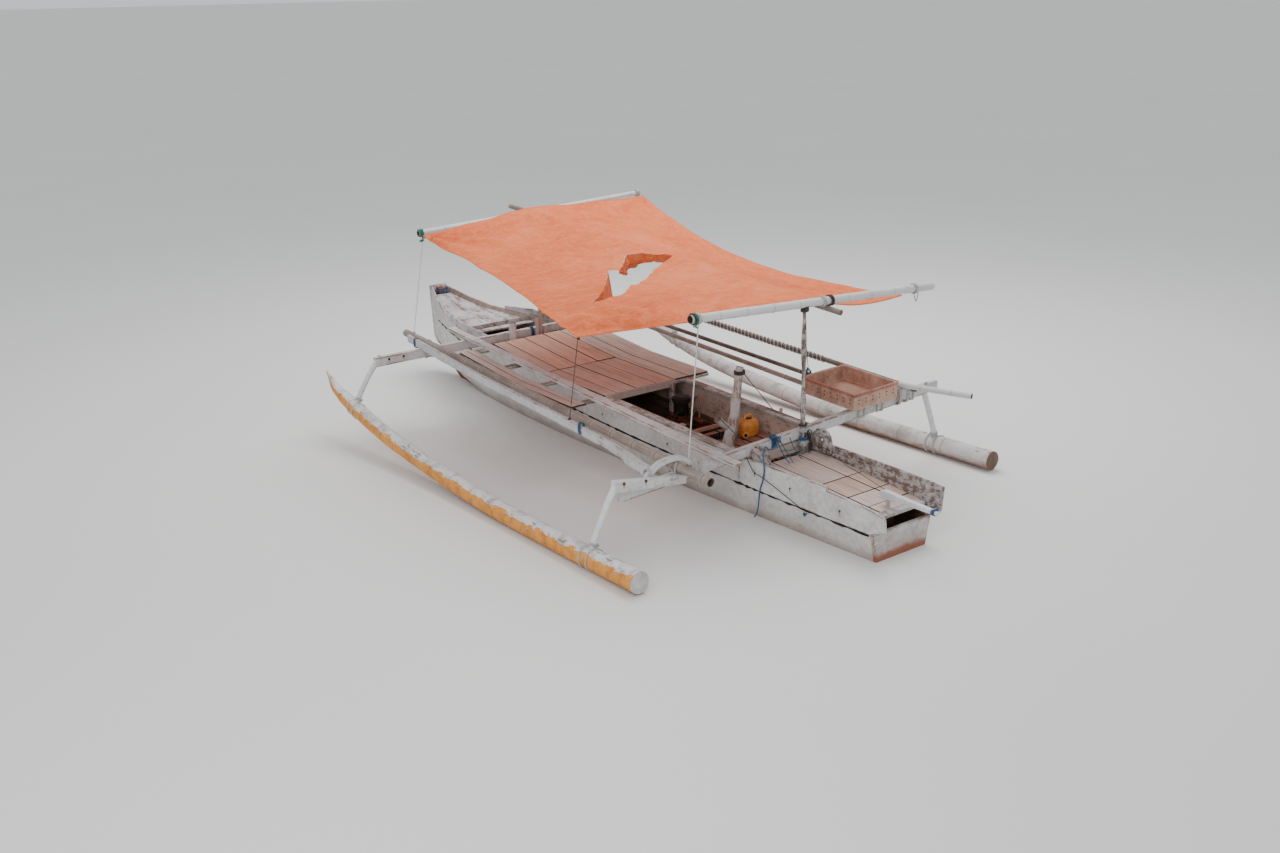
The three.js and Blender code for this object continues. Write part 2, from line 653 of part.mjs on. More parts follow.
// Rudder: stock with blade, and the tiller across its head
const bladeTop = -204;
const bladeOutline = [
  [STOCK_Y + 60, bladeTop],
  [STOCK_Y + 50, -400],
  [STOCK_Y - 190, -420],
  [STOCK_Y - 250, bladeTop - 20],
  [STOCK_Y - 200, bladeTop],
];
const TILLER_Z = 400;
const stock = rod(at(0, STOCK_Y, -410), at(0, STOCK_Y, TILLER_Z - 20 - GAP), STOCK_R, 14);
add("rudder", "bare_wood", join(stock, sideExtrude(bladeOutline, -12, 12)));
const tillerOutline = [
  [-3070, 380],
  [-3070, 418],
  [-3100, 426],
  [-3660, 418],
  [-3660, 392],
  [-3240, 380],
];
add("tiller", "white_paint", sideExtrude(tillerOutline, -24, 24));

// Posts on deck
const crookRaw = pole(
  [at(-74, -1520, FLOOR_Z - 30), at(-30, -1520, 560), at(10, -1510, 760), at(62, -1500, 1022)],
  [58, 52, 44, 36],
);
const crookBranch = pole(
  [at(-20, -1518, 530), at(-110, -1508, 560), at(-178, -1500, 628)],
  [30, 32, 38],
);
const underFloor = block(-600, 600, -2015, -1290, FLOOR_Z - 90, FLOOR_Z + GAP);
add("crook_post", "bare_wood", cut(join(crookRaw, crookBranch), underFloor));
const postLow = POST_THWART.high + GAP;
add("bitt_post", "bare_wood", rod(at(-222, 1485, postLow), at(-222, 1485, 892), 36, 12));

// Sunshade: spars, the poles under them, the ridge pole and the cloth
const ROUND = Math.cos(Math.PI / 12); // a twelve-sided pole's flats lie this near its axis
const SPARS = {
  fore: { port: at(-1170, 1502, 1880), starboard: at(1380, 1502, 1985), radius: 26 },
  aft: { port: at(-960, -2096, 1690), starboard: at(1680, -2096, 1548), radius: 34 },
};
for (const [name, { port, starboard, radius }] of Object.entries(SPARS)) {
  add(`spar_${name}`, "bamboo", rod(port, starboard, radius, 12));
}
const onSpar = (name, x) => {
  const { port, starboard } = SPARS[name];
  return port.clone().lerp(starboard, (x - port.x) / (starboard.x - port.x));
};
const underSpar = (name, x) => onSpar(name, x).z - SPARS[name].radius * ROUND - 1.5;
// Columns: name, x at the foot, x at the head, y, foot z, radius, spar
const SHADE_POLES = [
  ["pole_aft", 205, 195, AFT_BEAM_Y - BEAM_WIDE / 2 - GAP - 24, aftDeckZ(-2085) + GAP, 22, "aft"],
  ["pole_fore", 118, 118, SPARS.fore.port.y, postLow, 19, "fore"],
];
for (const [name, xLow, xHigh, y, low, radius, spar] of SHADE_POLES) {
  add(name, "bare_wood", rod(at(xLow, y, low), at(xHigh, y, underSpar(spar, xHigh)), radius, 12));
}
// The ridge pole lies on the fore spar and under the aft one, and reaches past both
const RIDGE_R = 24;
const ridgeRest = (name) => (RIDGE_R + SPARS[name].radius) * ROUND + 1.9;
const onFore = onSpar("fore", -60).add(at(0, 0, ridgeRest("fore")));
const underAft = onSpar("aft", 430).sub(at(0, 0, ridgeRest("aft")));
const ridgeFore = onFore.clone().lerp(underAft, -0.04);
const ridgeAft = onFore.clone().lerp(underAft, 1.04);
add("ridge_pole", "bamboo", rod(ridgeFore, ridgeAft, RIDGE_R, 12));
const ridgeAt = (y) => ridgeFore.clone().lerp(ridgeAft, (y - ridgeFore.y) / (ridgeAft.y - ridgeFore.y));

// Cloth: a thin sheet that lies over the ridge pole, with a torn opening.
// Columns of an edge: share of the way across, point
const CLOTH = 6;
const overRidge = (y) => ridgeAt(y).add(at(0, 0, RIDGE_R + CLOTH + GAP));
const FORE_EDGE = [
  [0, at(-1150, 1440, 1862)],
  [0.5, overRidge(1440)],
  [1, at(1370, 1440, 1955)],
];
const AFT_EDGE = [
  [0, at(-1450, -1370, 1500)],
  [0.2, at(-930, -2040, 1652)],
  [0.5, overRidge(-2040)],
  [1, at(1420, -2040, 1505)],
];
function onEdge(edge, u) {
  const next = Math.max(edge.findIndex(([share]) => share >= u), 1);
  const [[u0, from], [u1, to]] = [edge[next - 1], edge[next]];
  return from.clone().lerp(to, (u - u0) / (u1 - u0));
}
const CLOTH_ROWS = 8;
const CLOTH_STEPS = 10;
const clothRings = Array.from({ length: CLOTH_ROWS + 1 }, (_, j) => {
  const row = Array.from({ length: CLOTH_STEPS + 1 }, (_, i) => {
    const u = i / CLOTH_STEPS;
    return onEdge(FORE_EDGE, u).lerp(onEdge(AFT_EDGE, u), j / CLOTH_ROWS);
  });
  const low = row.map((p) => p.clone().sub(at(0, 0, CLOTH))).reverse();
  return [...row, ...low];
});
// The torn hole's outline, seen from above
const TEAR = [
  [-510, -515],
  [-170, -300],
  [150, -430],
  [170, -500],
  [-290, -815],
  [-650, -1010],
  [-970, -1170],
  [-1110, -1190],
  [-640, -780],
];
const tear = [0, 3000].map((z) => TEAR.map(([x, y]) => at(x, y, z)));
const ridgeGrown = rod(ridgeFore, ridgeAft, RIDGE_R + GAP, 12);
add("canopy", "tarp", cut(loft(clothRings), loft(tear), ridgeGrown));

// Main stays. Columns: name, upper end, lower end, radius
const sparFoot = (name, x) => at(x, SPARS[name].port.y, underSpar(name, x) + 0.8);
const STAYS = [
  ["stay_aft_port", sparFoot("aft", -880), at(-938, AFT_BEAM_Y, 597.3), 5],
  ["stay_fore_port", sparFoot("fore", -1120).sub(at(0, 0, 1)), at(-1125, 1802, 881), 3],
  ["stay_corner_port", at(-1438, -1362, 1497.2), at(-1202, -870, 686.2), 3],
];
for (const [name, upper, lower, radius] of STAYS) add(name, "rope", rod(upper, lower, radius, 8));

// Fish crate on the starboard poles and the aft beam, open on top.
// Its floor follows the slope of the poles.
const CRATE = { x0: 690, x1: 1200, y0: -2190, y1: -1580, z: 708.1, high: 142, wall: 14 };
const CRATE_SLOPE = { x: 0.0271, y: 0.04 };
function crateBox(inset, low, high) {
  const { x0, x1, y0, y1, z } = CRATE;
  const floor = (x, y) => z + (x - x1) * CRATE_SLOPE.x + (y - y1) * CRATE_SLOPE.y;
  const corners = [
    [x0 + inset, y0 + inset],
    [x1 - inset, y0 + inset],
    [x1 - inset, y1 - inset],
    [x0 + inset, y1 - inset],
  ];
  return loft([low, high].map((h) => corners.map(([x, y]) => at(x, y, floor(x, y) + h))));
}
add("crate", "crate", cut(crateBox(0, 0, CRATE.high), crateBox(CRATE.wall, CRATE.wall, CRATE.high + 10)));

// Fuel can. Columns: height, half width, half depth
const CAN = { x: 226, y: -1424 };
const canRings = [
  [0, 88, 62],
  [125, 88, 62],
  [150, 60, 40],
  [165, 26, 26],
  [182, 26, 26],
].map(([z, halfX, halfY]) =>
  [[-1, -1], [1, -1], [1, 1], [-1, 1]].map(([sx, sy]) =>
    at(CAN.x + sx * halfX, CAN.y + sy * halfY, FLOOR_Z + GAP + z),
  ),
);
add("fuel_can", "can", loft(canRings));

// Rope end that hangs over the port washboard
const ROPE_R = 6;
const ROPE = [
  at(-60, -2071, 560),
  at(-61, -2096, 559),
  at(-130, -2135, 540),
  at(-200, -2170, 548),
  at(-270, -2200, 570),
  at(-318, -2222, 607),
  at(-343, -2236, 606),
  at(-366, -2246, 588),
  at(-377, -2258, 550),
  at(-383, -2272, 505),
  at(-385, -2280, 455),
  at(-387, -2276, 400),
  at(-389, -2262, 340),
  at(-391, -2245, 290),
  at(-392, -2236, 235),
  at(-392, -2230, 180),
  at(-391, -2222, 125),
  at(-390, -2206, 75),
  at(-390, -2180, 35),
];
const ropeCurve = new THREE.CatmullRomCurve3(ROPE, false, "centripetal");
const ropeSection = Array.from({ length: 8 }, (_, k) => {
  const turn = (k / 8) * Math.PI * 2;
  return new THREE.Vector2(Math.cos(turn) * ROPE_R, Math.sin(turn) * ROPE_R);
});
const ropeTube = new THREE.ExtrudeGeometry(new THREE.Shape(ropeSection), {
  steps: 44,
  bevelEnabled: false,
  extrudePath: ropeCurve,
});
add("rope_port", "rope", geometryOf(solidOf(ropeTube)));

export default boat;
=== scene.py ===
"""The looks of a weathered wooden outrigger canoe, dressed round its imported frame.

Metres. +Y points to the bow, +X to starboard and +Z up; the waterline is z = 0.
"""
import math
import random

import bmesh
import bpy
from mathutils import Matrix, Vector, noise


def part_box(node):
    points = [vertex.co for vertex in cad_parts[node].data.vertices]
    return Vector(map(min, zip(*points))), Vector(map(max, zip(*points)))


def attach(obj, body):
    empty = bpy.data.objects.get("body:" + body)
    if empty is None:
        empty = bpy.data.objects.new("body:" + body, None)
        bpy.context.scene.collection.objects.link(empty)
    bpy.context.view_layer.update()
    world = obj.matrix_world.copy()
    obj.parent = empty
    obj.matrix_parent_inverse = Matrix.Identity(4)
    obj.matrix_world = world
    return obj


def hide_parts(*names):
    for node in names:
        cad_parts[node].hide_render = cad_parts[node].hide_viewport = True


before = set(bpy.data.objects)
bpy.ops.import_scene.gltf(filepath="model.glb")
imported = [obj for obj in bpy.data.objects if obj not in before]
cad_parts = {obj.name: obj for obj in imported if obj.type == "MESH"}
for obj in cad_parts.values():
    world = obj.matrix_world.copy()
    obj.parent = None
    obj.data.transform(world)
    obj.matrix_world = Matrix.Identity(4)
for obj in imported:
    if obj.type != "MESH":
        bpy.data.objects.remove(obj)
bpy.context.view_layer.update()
noise.seed_set(5)  # boards wander the same way at each run

DOWN = Vector((0, 0, -1))
UP = Vector((0, 0, 1))
ABOARD = Vector((0, 1, 0))  # along the boat
ACROSS = Vector((1, 0, 0))
SIDES = {"starboard": 1, "port": -1}


# Camera, where the photograph was taken from
CAMERA_PLACE = (-7.0, -9.331, 3.986)
CAMERA_YAW = math.radians(37.573)
CAMERA_PITCH = math.radians(18.218)
CAMERA_ROLL = math.radians(-1.094)
CAMERA_LENS = 37.69


def add_object(name, data):
    made = bpy.data.objects.new(name, data)
    bpy.context.scene.collection.objects.link(made)
    return made


def set_camera():
    level = math.cos(CAMERA_PITCH)
    forward = Vector((
        math.sin(CAMERA_YAW) * level,
        math.cos(CAMERA_YAW) * level,
        -math.sin(CAMERA_PITCH),
    ))
    side = Vector((math.cos(CAMERA_YAW), -math.sin(CAMERA_YAW), 0))
    top = side.cross(forward)
    turn_side = side * math.cos(CAMERA_ROLL) + top * math.sin(CAMERA_ROLL)
    turn_top = top * math.cos(CAMERA_ROLL) - side * math.sin(CAMERA_ROLL)
    data = bpy.data.cameras.new("view")
    data.lens = CAMERA_LENS
    turn = Matrix((turn_side, turn_top, -forward)).transposed().to_4x4()
    camera = add_object("view", data)
    camera.matrix_world = Matrix.Translation(CAMERA_PLACE) @ turn
    bpy.context.scene.camera = camera


# Paths


def smooth_path(points, step):
    """A centripetal curve through the points, as points about one step apart."""
    points = [Vector(p) for p in points]
    ends = [points[0] * 2 - points[1], *points, points[-1] * 2 - points[-2]]
    made = [points[0]]
    for p0, p1, p2, p3 in zip(ends, ends[1:], ends[2:], ends[3:]):
        gaps = [max((b - a).length, 1e-6) ** 0.5 for a, b in ((p0, p1), (p1, p2), (p2, p3))]
        leave = (p1 - p0) / gaps[0] - (p2 - p0) / (gaps[0] + gaps[1]) + (p2 - p1) / gaps[1]
        reach = (p2 - p1) / gaps[1] - (p3 - p1) / (gaps[1] + gaps[2]) + (p3 - p2) / gaps[2]
        leave, reach = leave * gaps[1], reach * gaps[1]
        parts = max(1, round((p2 - p1).length / step))
        for i in range(1, parts + 1):
            t = i / parts
            bend = (2 * p1 - 2 * p2 + leave + reach) * t**3
            bend += (3 * p2 - 3 * p1 - 2 * leave - reach) * t**2
            made.append(p1 + leave * t + bend)
    return made


def distances(points):
    """How far along the path each point lies."""
    made = [0.0]
    for a, b in zip(points, points[1:]):
        made.append(made[-1] + (b - a).length)
    return made


def interpolate(table, place):
    """The row of a table at a place in its first column, its other columns mixed."""
    rows = sorted(table)
    for low, high in zip(rows, rows[1:]):
        if place <= high[0] or high is rows[-1]:
            share = (place - low[0]) / (high[0] - low[0])
            return [a + (b - a) * share for a, b in zip(low[1:], high[1:])]
    return list(rows[0][1:])


def path_at(points, places):
    """Points of a path at the given distances along it."""
    table = [(d, *p) for d, p in zip(distances(points), points)]
    return [Vector(interpolate(table, place)) for place in places]


def spaced(start, end, step):
    """Numbers from start to end, about one step apart."""
    count = max(1, round(abs(end - start) / step))
    return [start + (end - start) * i / count for i in range(count + 1)]


def straight(start, end, step):
    """Points along a straight line, about one step apart."""
    start, end = Vector(start), Vector(end)
    return path_at([start, end], spaced(0, (end - start).length, step))


def heading(points, i):
    """The way a path runs at one of its points."""
    return (points[min(i + 1, len(points) - 1)] - points[max(i - 1, 0)]).normalized()


def bulged(turn, power):
    """Cosine and sine of a turn, pushed out towards a rounded square."""
    return [math.copysign(abs(v) ** power, v) for v in (math.cos(turn), math.sin(turn))]


# Meshes. Every part has a UV map in metres (along, across), and two point attributes:
# wear, 1 at edges, and under, 1 on a round part's underside.
ROUND_WEAR = 0.2  # how worn a round part is all over
LUMP_SCALE, WANDER_SCALE, CHIP_SCALE = 9, 4, 21  # noise cells in a metre
CHIP_START = 0.12  # the noise above which an edge is chipped
SHEET = 0.0015  # how thick the cloth is
# Bamboo: from node to node, half of a node's length, its swelling, an open end's depth
NODE_STEP, NODE_HALF, NODE_SWELL, END_DEPTH = 0.27, 0.012, 1.09, 0.05
# How boards are worn. Columns: kind, chamfer, border, step along it, wobble, chips
WORN = {
    "beam": (0.006, 0.018, 0.12, 0.003, 0.008),
    "chock": (0.006, 0.020, 0.05, 0.002, 0.006),
    "knee": (0.009, 0.014, 0.03, 0.002, 0.003),
    "tiller": (0.006, 0.012, 0.08, 0.002, 0.006),
    "crate": (0.002, 0.006, 0.10, 0.001, 0.001),
}


def new_part():
    part = bmesh.new()
    part.loops.layers.uv.new("UVMap")
    for name in ("wear", "under"):
        part.verts.layers.float.new(name)
    return part


def skin(part, rings, wears, unders, run, girth=None, end_slot=0):
    """Extrudes a closed ring through places that each ring of points gives."""
    wear, under = (part.verts.layers.float[name] for name in ("wear", "under"))
    order = part.verts.layers.int.get("order") or part.verts.layers.int.new("order")
    count = len(rings[0])
    ring = bmesh.ops.create_circle(part, cap_ends=True, segments=count, radius=1)["verts"]
    for i, vert in enumerate(ring):
        vert[order] = i
    edges = list({edge for vert in ring for edge in vert.link_edges})
    first_cap = edges[0].link_faces[0]
    rows = [ring]
    for _ in rings[1:]:
        made = bmesh.ops.extrude_edge_only(part, edges=edges)["geom"]
        ring = [g for g in made if isinstance(g, bmesh.types.BMVert)]
        inside = set(ring)
        edges = [
            g for g in made
            if isinstance(g, bmesh.types.BMEdge) and inside.issuperset(g.verts)
        ]
        rows.append(sorted(ring, key=lambda vert: vert[order]))
    last_cap = bmesh.ops.contextual_create(part, geom=edges)["faces"][0]
    first_cap.material_index = last_cap.material_index = end_slot
    along = {}
    for row, points, distance in zip(rows, rings, run):
        for vert, point, w, u in zip(row, points, wears, unders):
            vert.co = point
            vert[wear], vert[under] = w, u
            along[vert] = distance
    middle = rings[len(rings) // 2]
    lengths = distances([*middle, middle[0]])
    scale = 1 if girth is None else girth / lengths[-1]
    uv = part.loops.layers.uv["UVMap"]
    for row in rows[:-1]:
        for face in {face for vert in row for face in vert.link_faces}:
            if face in (first_cap, last_cap):
                continue
            seam = {0, count - 1}.issubset({loop.vert[order] for loop in face.loops})
            for loop in face.loops:
                place = loop.vert[order]
                across = lengths[count if seam and place == 0 else place]
                loop[uv].uv = (along[loop.vert], across * scale)
    for cap, points, distance in ((first_cap, rings[0], 0), (last_cap, rings[-1], run[-1])):
        side = (points[1] - points[0]).normalized()
        across = (points[count // 3] - points[0]).cross(side).cross(side).normalized()
        for loop in cap.loops:
            offset = loop.vert.co - points[0]
            loop[uv].uv = (distance + offset.dot(side) * 0.2, offset.dot(across))
    bmesh.ops.recalc_face_normals(part, faces=part.faces)
    if part.calc_volume(signed=True) < 0:
        bmesh.ops.reverse_faces(part, faces=part.faces)
    return first_cap, last_cap


def hollow_end(part, cap, wall):
    """Opens a pole's end: a wall is left, and inside it the face sinks."""
    bmesh.ops.inset_individual(part, faces=[cap], thickness=wall, depth=0)
    bmesh.ops.inset_individual(part, faces=[cap], thickness=wall * 0.1, depth=-END_DEPTH)
    cap.material_index = 1


def tube(points, radius, sides=12, lumps=0.0, seed=0, girth=None, nodes=(), open_ends=0.0):
    """A round part along a path. radius is a number or a table of (distance, radius).
    Bamboo swells at nodes. open_ends is how thick the wall of a hollow pole is."""
    run = distances(points)
    places = sorted(set(run).union(*({n - NODE_HALF, n, n + NODE_HALF} for n in nodes)))
    places = [place for place in places if 0 <= place <= run[-1]]
    points = path_at(points, places) if nodes else points
    side = (points[1] - points[0]).orthogonal()
    whole = (points[-1] - points[0]).normalized()
    if whole.length > 0.5 and abs(whole.z) < 0.9:  # neither a closed path nor an upright one
        side = whole.cross(UP)
    rings = []
    turns = [i / sides * math.tau for i in range(sides)]
    for i, (point, place) in enumerate(zip(points, places)):
        run_here = heading(points, i)
        side = (side - run_here * side.dot(run_here)).normalized()
        top = side.cross(run_here)
        size = radius if isinstance(radius, (int, float)) else interpolate(radius, place)[0]
        if any(abs(place - n) < 1e-4 for n in nodes):
            size *= NODE_SWELL
        ring = []
        for turn in turns:
            out = side * math.cos(turn) + top * math.sin(turn)
            lump = noise.noise((point + out * size) * LUMP_SCALE + Vector((seed, seed, 0)))
            ring.append(point + out * size * (1 + lumps * lump))
        rings.append(ring)
    part = new_part()
    unders = [-math.sin(turn) for turn in turns]
    caps = skin(part, rings, [ROUND_WEAR] * sides, unders, places, girth, end_slot=1)
    if open_ends:
        for cap in caps:
            hollow_end(part, cap, open_ends)
    return part


def bamboo(start, end, radius, step, sides, wall, seed):
    """A straight pole that swells at its nodes, with open ends."""
    path = straight(start, end, step)
    count = int(distances(path)[-1] / NODE_STEP)
    nodes = [NODE_STEP * k for k in range(1, count + 1)]
    return tube(path, radius, sides, 0.03, seed, nodes=nodes, open_ends=wall)


def section(corners, chamfer, border):
    """A ring with rounded corners, as points and how worn each is. On a short side the
    chamfer takes up a fifth, and the worn border less than half."""
    points, wears = [], []
    count = len(corners)
    for i, corner in enumerate(corners):
        back = corners[i - 1] - corner
        on = corners[(i + 1) % count] - corner
        cut = min(chamfer, back.length * 0.2, on.length * 0.2)
        far_back, far_on = (min(border, run.length * 0.42) for run in (back, on))
        back, on = back.normalized(), on.normalized()
        points += [
            corner + back * far_back,
            corner + back * cut,
            corner + (back + on) * cut * 0.3,
            corner + on * cut,
            corner + on * far_on,
        ]
        wears += [0, 1, 1, 1, 0]
    return points, wears


def plank(rows, chamfer=0.004, border=0.016, step=0.16, wobble=0.0015, chips=0.004, seed=0):
    """A board through rows of corners, with worn edges that wander a little."""
    centres = [sum(row, Vector()) / len(row) for row in rows]
    run = distances(centres)
    places = [0.0, chamfer]
    for a, b in zip(run, run[1:]):
        parts = max(1, round((b - a) / step))
        places += [a + (b - a) * i / parts for i in range(1, parts + 1)]
    places[-1:] = [run[-1] - chamfer, run[-1]]
    rings = []
    for place in places:
        table = [(d, *(c for p in row for c in p)) for d, row in zip(run, rows)]
        flat = interpolate(table, place)
        corners = [Vector(flat[i:i + 3]) for i in range(0, len(flat), 3)]
        points, wears = section(corners, chamfer, border)
        centre = sum(corners, Vector()) / len(corners)
        at_end = place in (0.0, run[-1])
        ring = []
        for point, wear in zip(points, wears):
            inward = (centre - point).normalized()
            if at_end:
                point = point + inward * chamfer
            shift = Vector((seed * 3.7, seed * 1.3, 0))
            point = point + noise.noise_vector(point * WANDER_SCALE + shift) * wobble
            nibble = max(0.0, noise.noise(point * CHIP_SCALE + shift) - CHIP_START) * wear
            ring.append(point + inward * nibble * chips * 2)
        rings.append(ring)
    part = new_part()
    skin(part, rings, wears, [0] * len(wears), places)
    return part


def slab(centre, side, half, low, high, up=UP):
    """A board's section: four corners, half to each side of a centre, from low to high."""
    centre = Vector(centre)
    return [centre + side * half * s + up * z for s, z in ((-1, low), (1, low), (1, high), (-1, high))]


def block(low, high, chamfer=0.003, seed=0):
    """A board square to the axes between two corners, with worn edges."""
    (x0, y0, z0), (x1, y1, z1) = low, high
    rows = [slab(((x0 + x1) / 2, y, 0), ACROSS, (x1 - x0) / 2, z0, z1) for y in (y0, y1)]
    return plank(rows, chamfer, 0.012, 0.1, 0.0015, 0.002, seed)


def lay_uv(part, place):
    """Gives each corner of a face its place on the UV map. place is a function of both."""
    uv = part.loops.layers.uv["UVMap"]
    for face in part.faces:
        for loop in face.loops:
            loop[uv].uv = place(face, loop)


def grain(part, along, slip=Vector((0, 0))):
    """Lays the UV map on flat faces, with the grain along a direction."""
    def place(face, loop):
        across = face.normal.cross(along)
        if across.length < 0.3:
            across = along.orthogonal()
        here = loop.vert.co
        return Vector((here.dot(along), here.dot(across.normalized()))) + slip

    lay_uv(part, place)


def thicken(part):
    """Gives a sheet of faces the cloth's thickness."""
    bmesh.ops.recalc_face_normals(part, faces=part.faces)
    bmesh.ops.solidify(part, geom=part.faces[:], thickness=SHEET)


def soften(part, along, bevel=0.003, border=0.014):
    """Rounds the sharp edges of a cut form and marks them as worn."""
    wear = part.verts.layers.float["wear"]
    sharp = [
        edge for edge in part.edges
        if edge.is_manifold and edge.calc_face_angle(0) > math.radians(25)
    ]
    bmesh.ops.bevel(
        part, geom=sharp, offset=bevel, offset_type="OFFSET", segments=2, profile=0.5,
        material=-1, affect="EDGES", clamp_overlap=True,
    )
    for vert in part.verts:
        vert[wear] = 1
    wide = [
        face for face in part.faces
        if face.calc_area() > (3 * border) ** 2
        and min(edge.calc_length() for edge in face.edges) > border
        and all(loop.is_convex for loop in face.loops)
    ]
    if wide:
        bmesh.ops.inset_individual(part, faces=wide, thickness=border, use_even_offset=True)
    for face in wide:
        for vert in face.verts:
            vert[wear] = 0
    part.normal_update()
    grain(part, along)
    return part


def cad_form(node):
    """A copy of a frame node's mesh, merged and with its flat faces whole."""
    part = new_part()
    part.from_mesh(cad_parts[node].data)
    bmesh.ops.remove_doubles(part, verts=part.verts, dist=1e-5)
    flat = math.radians(1.5)
    bmesh.ops.dissolve_limit(part, angle_limit=flat, verts=part.verts, edges=part.edges)
    return part


def keep_between(part, direction, low, high):
    """Cuts a closed form to what lies between two parallel planes."""
    for place, sign in ((low, -1), (high, 1)):
        geometry = [*part.verts, *part.edges, *part.faces]
        made = bmesh.ops.bisect_plane(
            part, geom=geometry, plane_co=direction * place, plane_no=direction * sign,
            clear_outer=True,
        )
        cut = [g for g in made["geom_cut"] if isinstance(g, bmesh.types.BMEdge)]
        if cut:
            bmesh.ops.holes_fill(part, edges=cut, sides=0)


def boards(node, seams, ends, gap, seed):
    """A deck as its separate boards, cut from the node's form at seams and butt ends.
    A board's edges take the second finish, and some boards' faces the third."""
    draw = random.Random(seed)
    made = []
    for low, high in zip(seams, seams[1:]):
        for fore, aft in zip(ends, ends[1:]):
            part = cad_form(node)
            keep_between(part, ACROSS, low + gap / 2, high - gap / 2)
            keep_between(part, ABOARD, fore + gap / 2, aft - gap / 2)
            if not part.faces:
                continue
            soften(part, ABOARD, 0.003, 0.012)
            face_finish = draw.choice((0, 2))
            for face in part.faces:
                # Upright faces take the near-black finish: painted shade in the gaps.
                face.material_index = 1 if abs(face.normal.z) < 0.5 else face_finish
            shift = Vector((0, 0, draw.uniform(-0.002, 0.001)))
            slip = Vector((draw.uniform(0, 9), draw.uniform(0, 9)))
            grain(part, ABOARD, slip)
            bmesh.ops.translate(part, vec=shift, verts=part.verts)
            made.append(part)
    return made


def piece(name, parts, finishes, slot, *replaces, body="root", sharp=38):
    """Joins parts into one named piece that rides on a body, in place of some nodes."""
    mesh = bpy.data.meshes.new(name)
    whole = bmesh.new()
    for part in parts:
        order = part.verts.layers.int.get("order")
        if order:
            part.verts.layers.int.remove(order)
        part.to_mesh(mesh)
        part.free()
        whole.from_mesh(mesh)
    whole.to_mesh(mesh)
    whole.free()
    if "custom_normal" in mesh.attributes:
        mesh.attributes.remove(mesh.attributes["custom_normal"])
    for finish in finishes:
        mesh.materials.append(finish)
    mesh.shade_smooth()
    mesh.set_sharp_from_angle(angle=math.radians(sharp))
    made = add_object(name, mesh)
    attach(made, body)
    if replaces:
        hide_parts(*replaces)
    return made


# Cords round joints
CORD_SIDES = 6
TURN_STEPS, KNOT_STEPS = 18, 40


def wraps(centre, axis, across, half, turns, cord, pitch=None, square=1.0, seed=0):
    """A cord wound round a pole or beam. half is its reach on both cross axes."""
    axis = Vector(axis).normalized()
    across = Vector(across)
    across = (across - axis * across.dot(axis)).normalized()
    other = axis.cross(across)
    draw = random.Random(seed)
    pitch = pitch or cord * 2.05
    points = []
    for i in range(int(turns * TURN_STEPS) + 1):
        c, s = bulged(i / TURN_STEPS * math.tau, square)
        slack = 1 + draw.uniform(0, 0.03)
        offset = (i / TURN_STEPS - turns / 2) * pitch
        reach = across * c * (half[0] + cord) + other * s * (half[1] + cord)
        points.append(Vector(centre) + axis * offset + reach * slack)
    return tube(points, cord, CORD_SIDES, girth=1)


def knot(centre, size, cord, seed=0):
    """A pulled knot: a trefoil of cord."""
    draw = random.Random(seed)
    turn = Matrix.Rotation(draw.uniform(0, math.tau), 3, Vector((draw.random(), 1, draw.random())))
    points = []
    for i in range(KNOT_STEPS + 1):
        t = i / KNOT_STEPS * math.tau
        point = Vector((
            math.sin(t) + 2 * math.sin(2 * t),
            math.cos(t) - 2 * math.cos(2 * t),
            -math.sin(3 * t),
        ))
        points.append(Vector(centre) + turn @ point * size / 3)
    return tube(points, cord, CORD_SIDES, girth=1)


def cross_lashing(centre, pole_radius, beam_half, turns=2, cord=0.004):
    """Cords that cross over a pole and under the beam that it lies on. centre is where
    the pole's underside meets the beam's top; beam_half is half its width, and its height."""
    centre = Vector(centre)
    half_wide, high = beam_half
    made = []
    for turn in range(turns):
        reach = pole_radius + cord * (1.6 + 2.2 * turn)
        face = half_wide + cord
        for sign in (-1, 1):
            near, far = (Vector((s * sign * reach, s * face, 0)) for s in (-1, 1))
            over = UP * (2 * pole_radius + cord)
            under = DOWN * (high + cord)
            loop = [
                near + under, near, near * 0.5 + over * 0.85, over, far * 0.5 + over * 0.85,
                far, far + under, (near + far) / 2 + under, near + under,
            ]
            path = [centre + place for place in loop]
            made.append(tube(smooth_path(path, 0.02), cord, CORD_SIDES, girth=1))
    return made


# Finishes


def hue(text):
    """A linear colour from its usual six digits."""
    values = [int(text[i:i + 2], 16) / 255 for i in (0, 2, 4)]
    return (*(v / 12.92 if v <= 0.04045 else ((v + 0.055) / 1.055) ** 2.4 for v in values), 1)


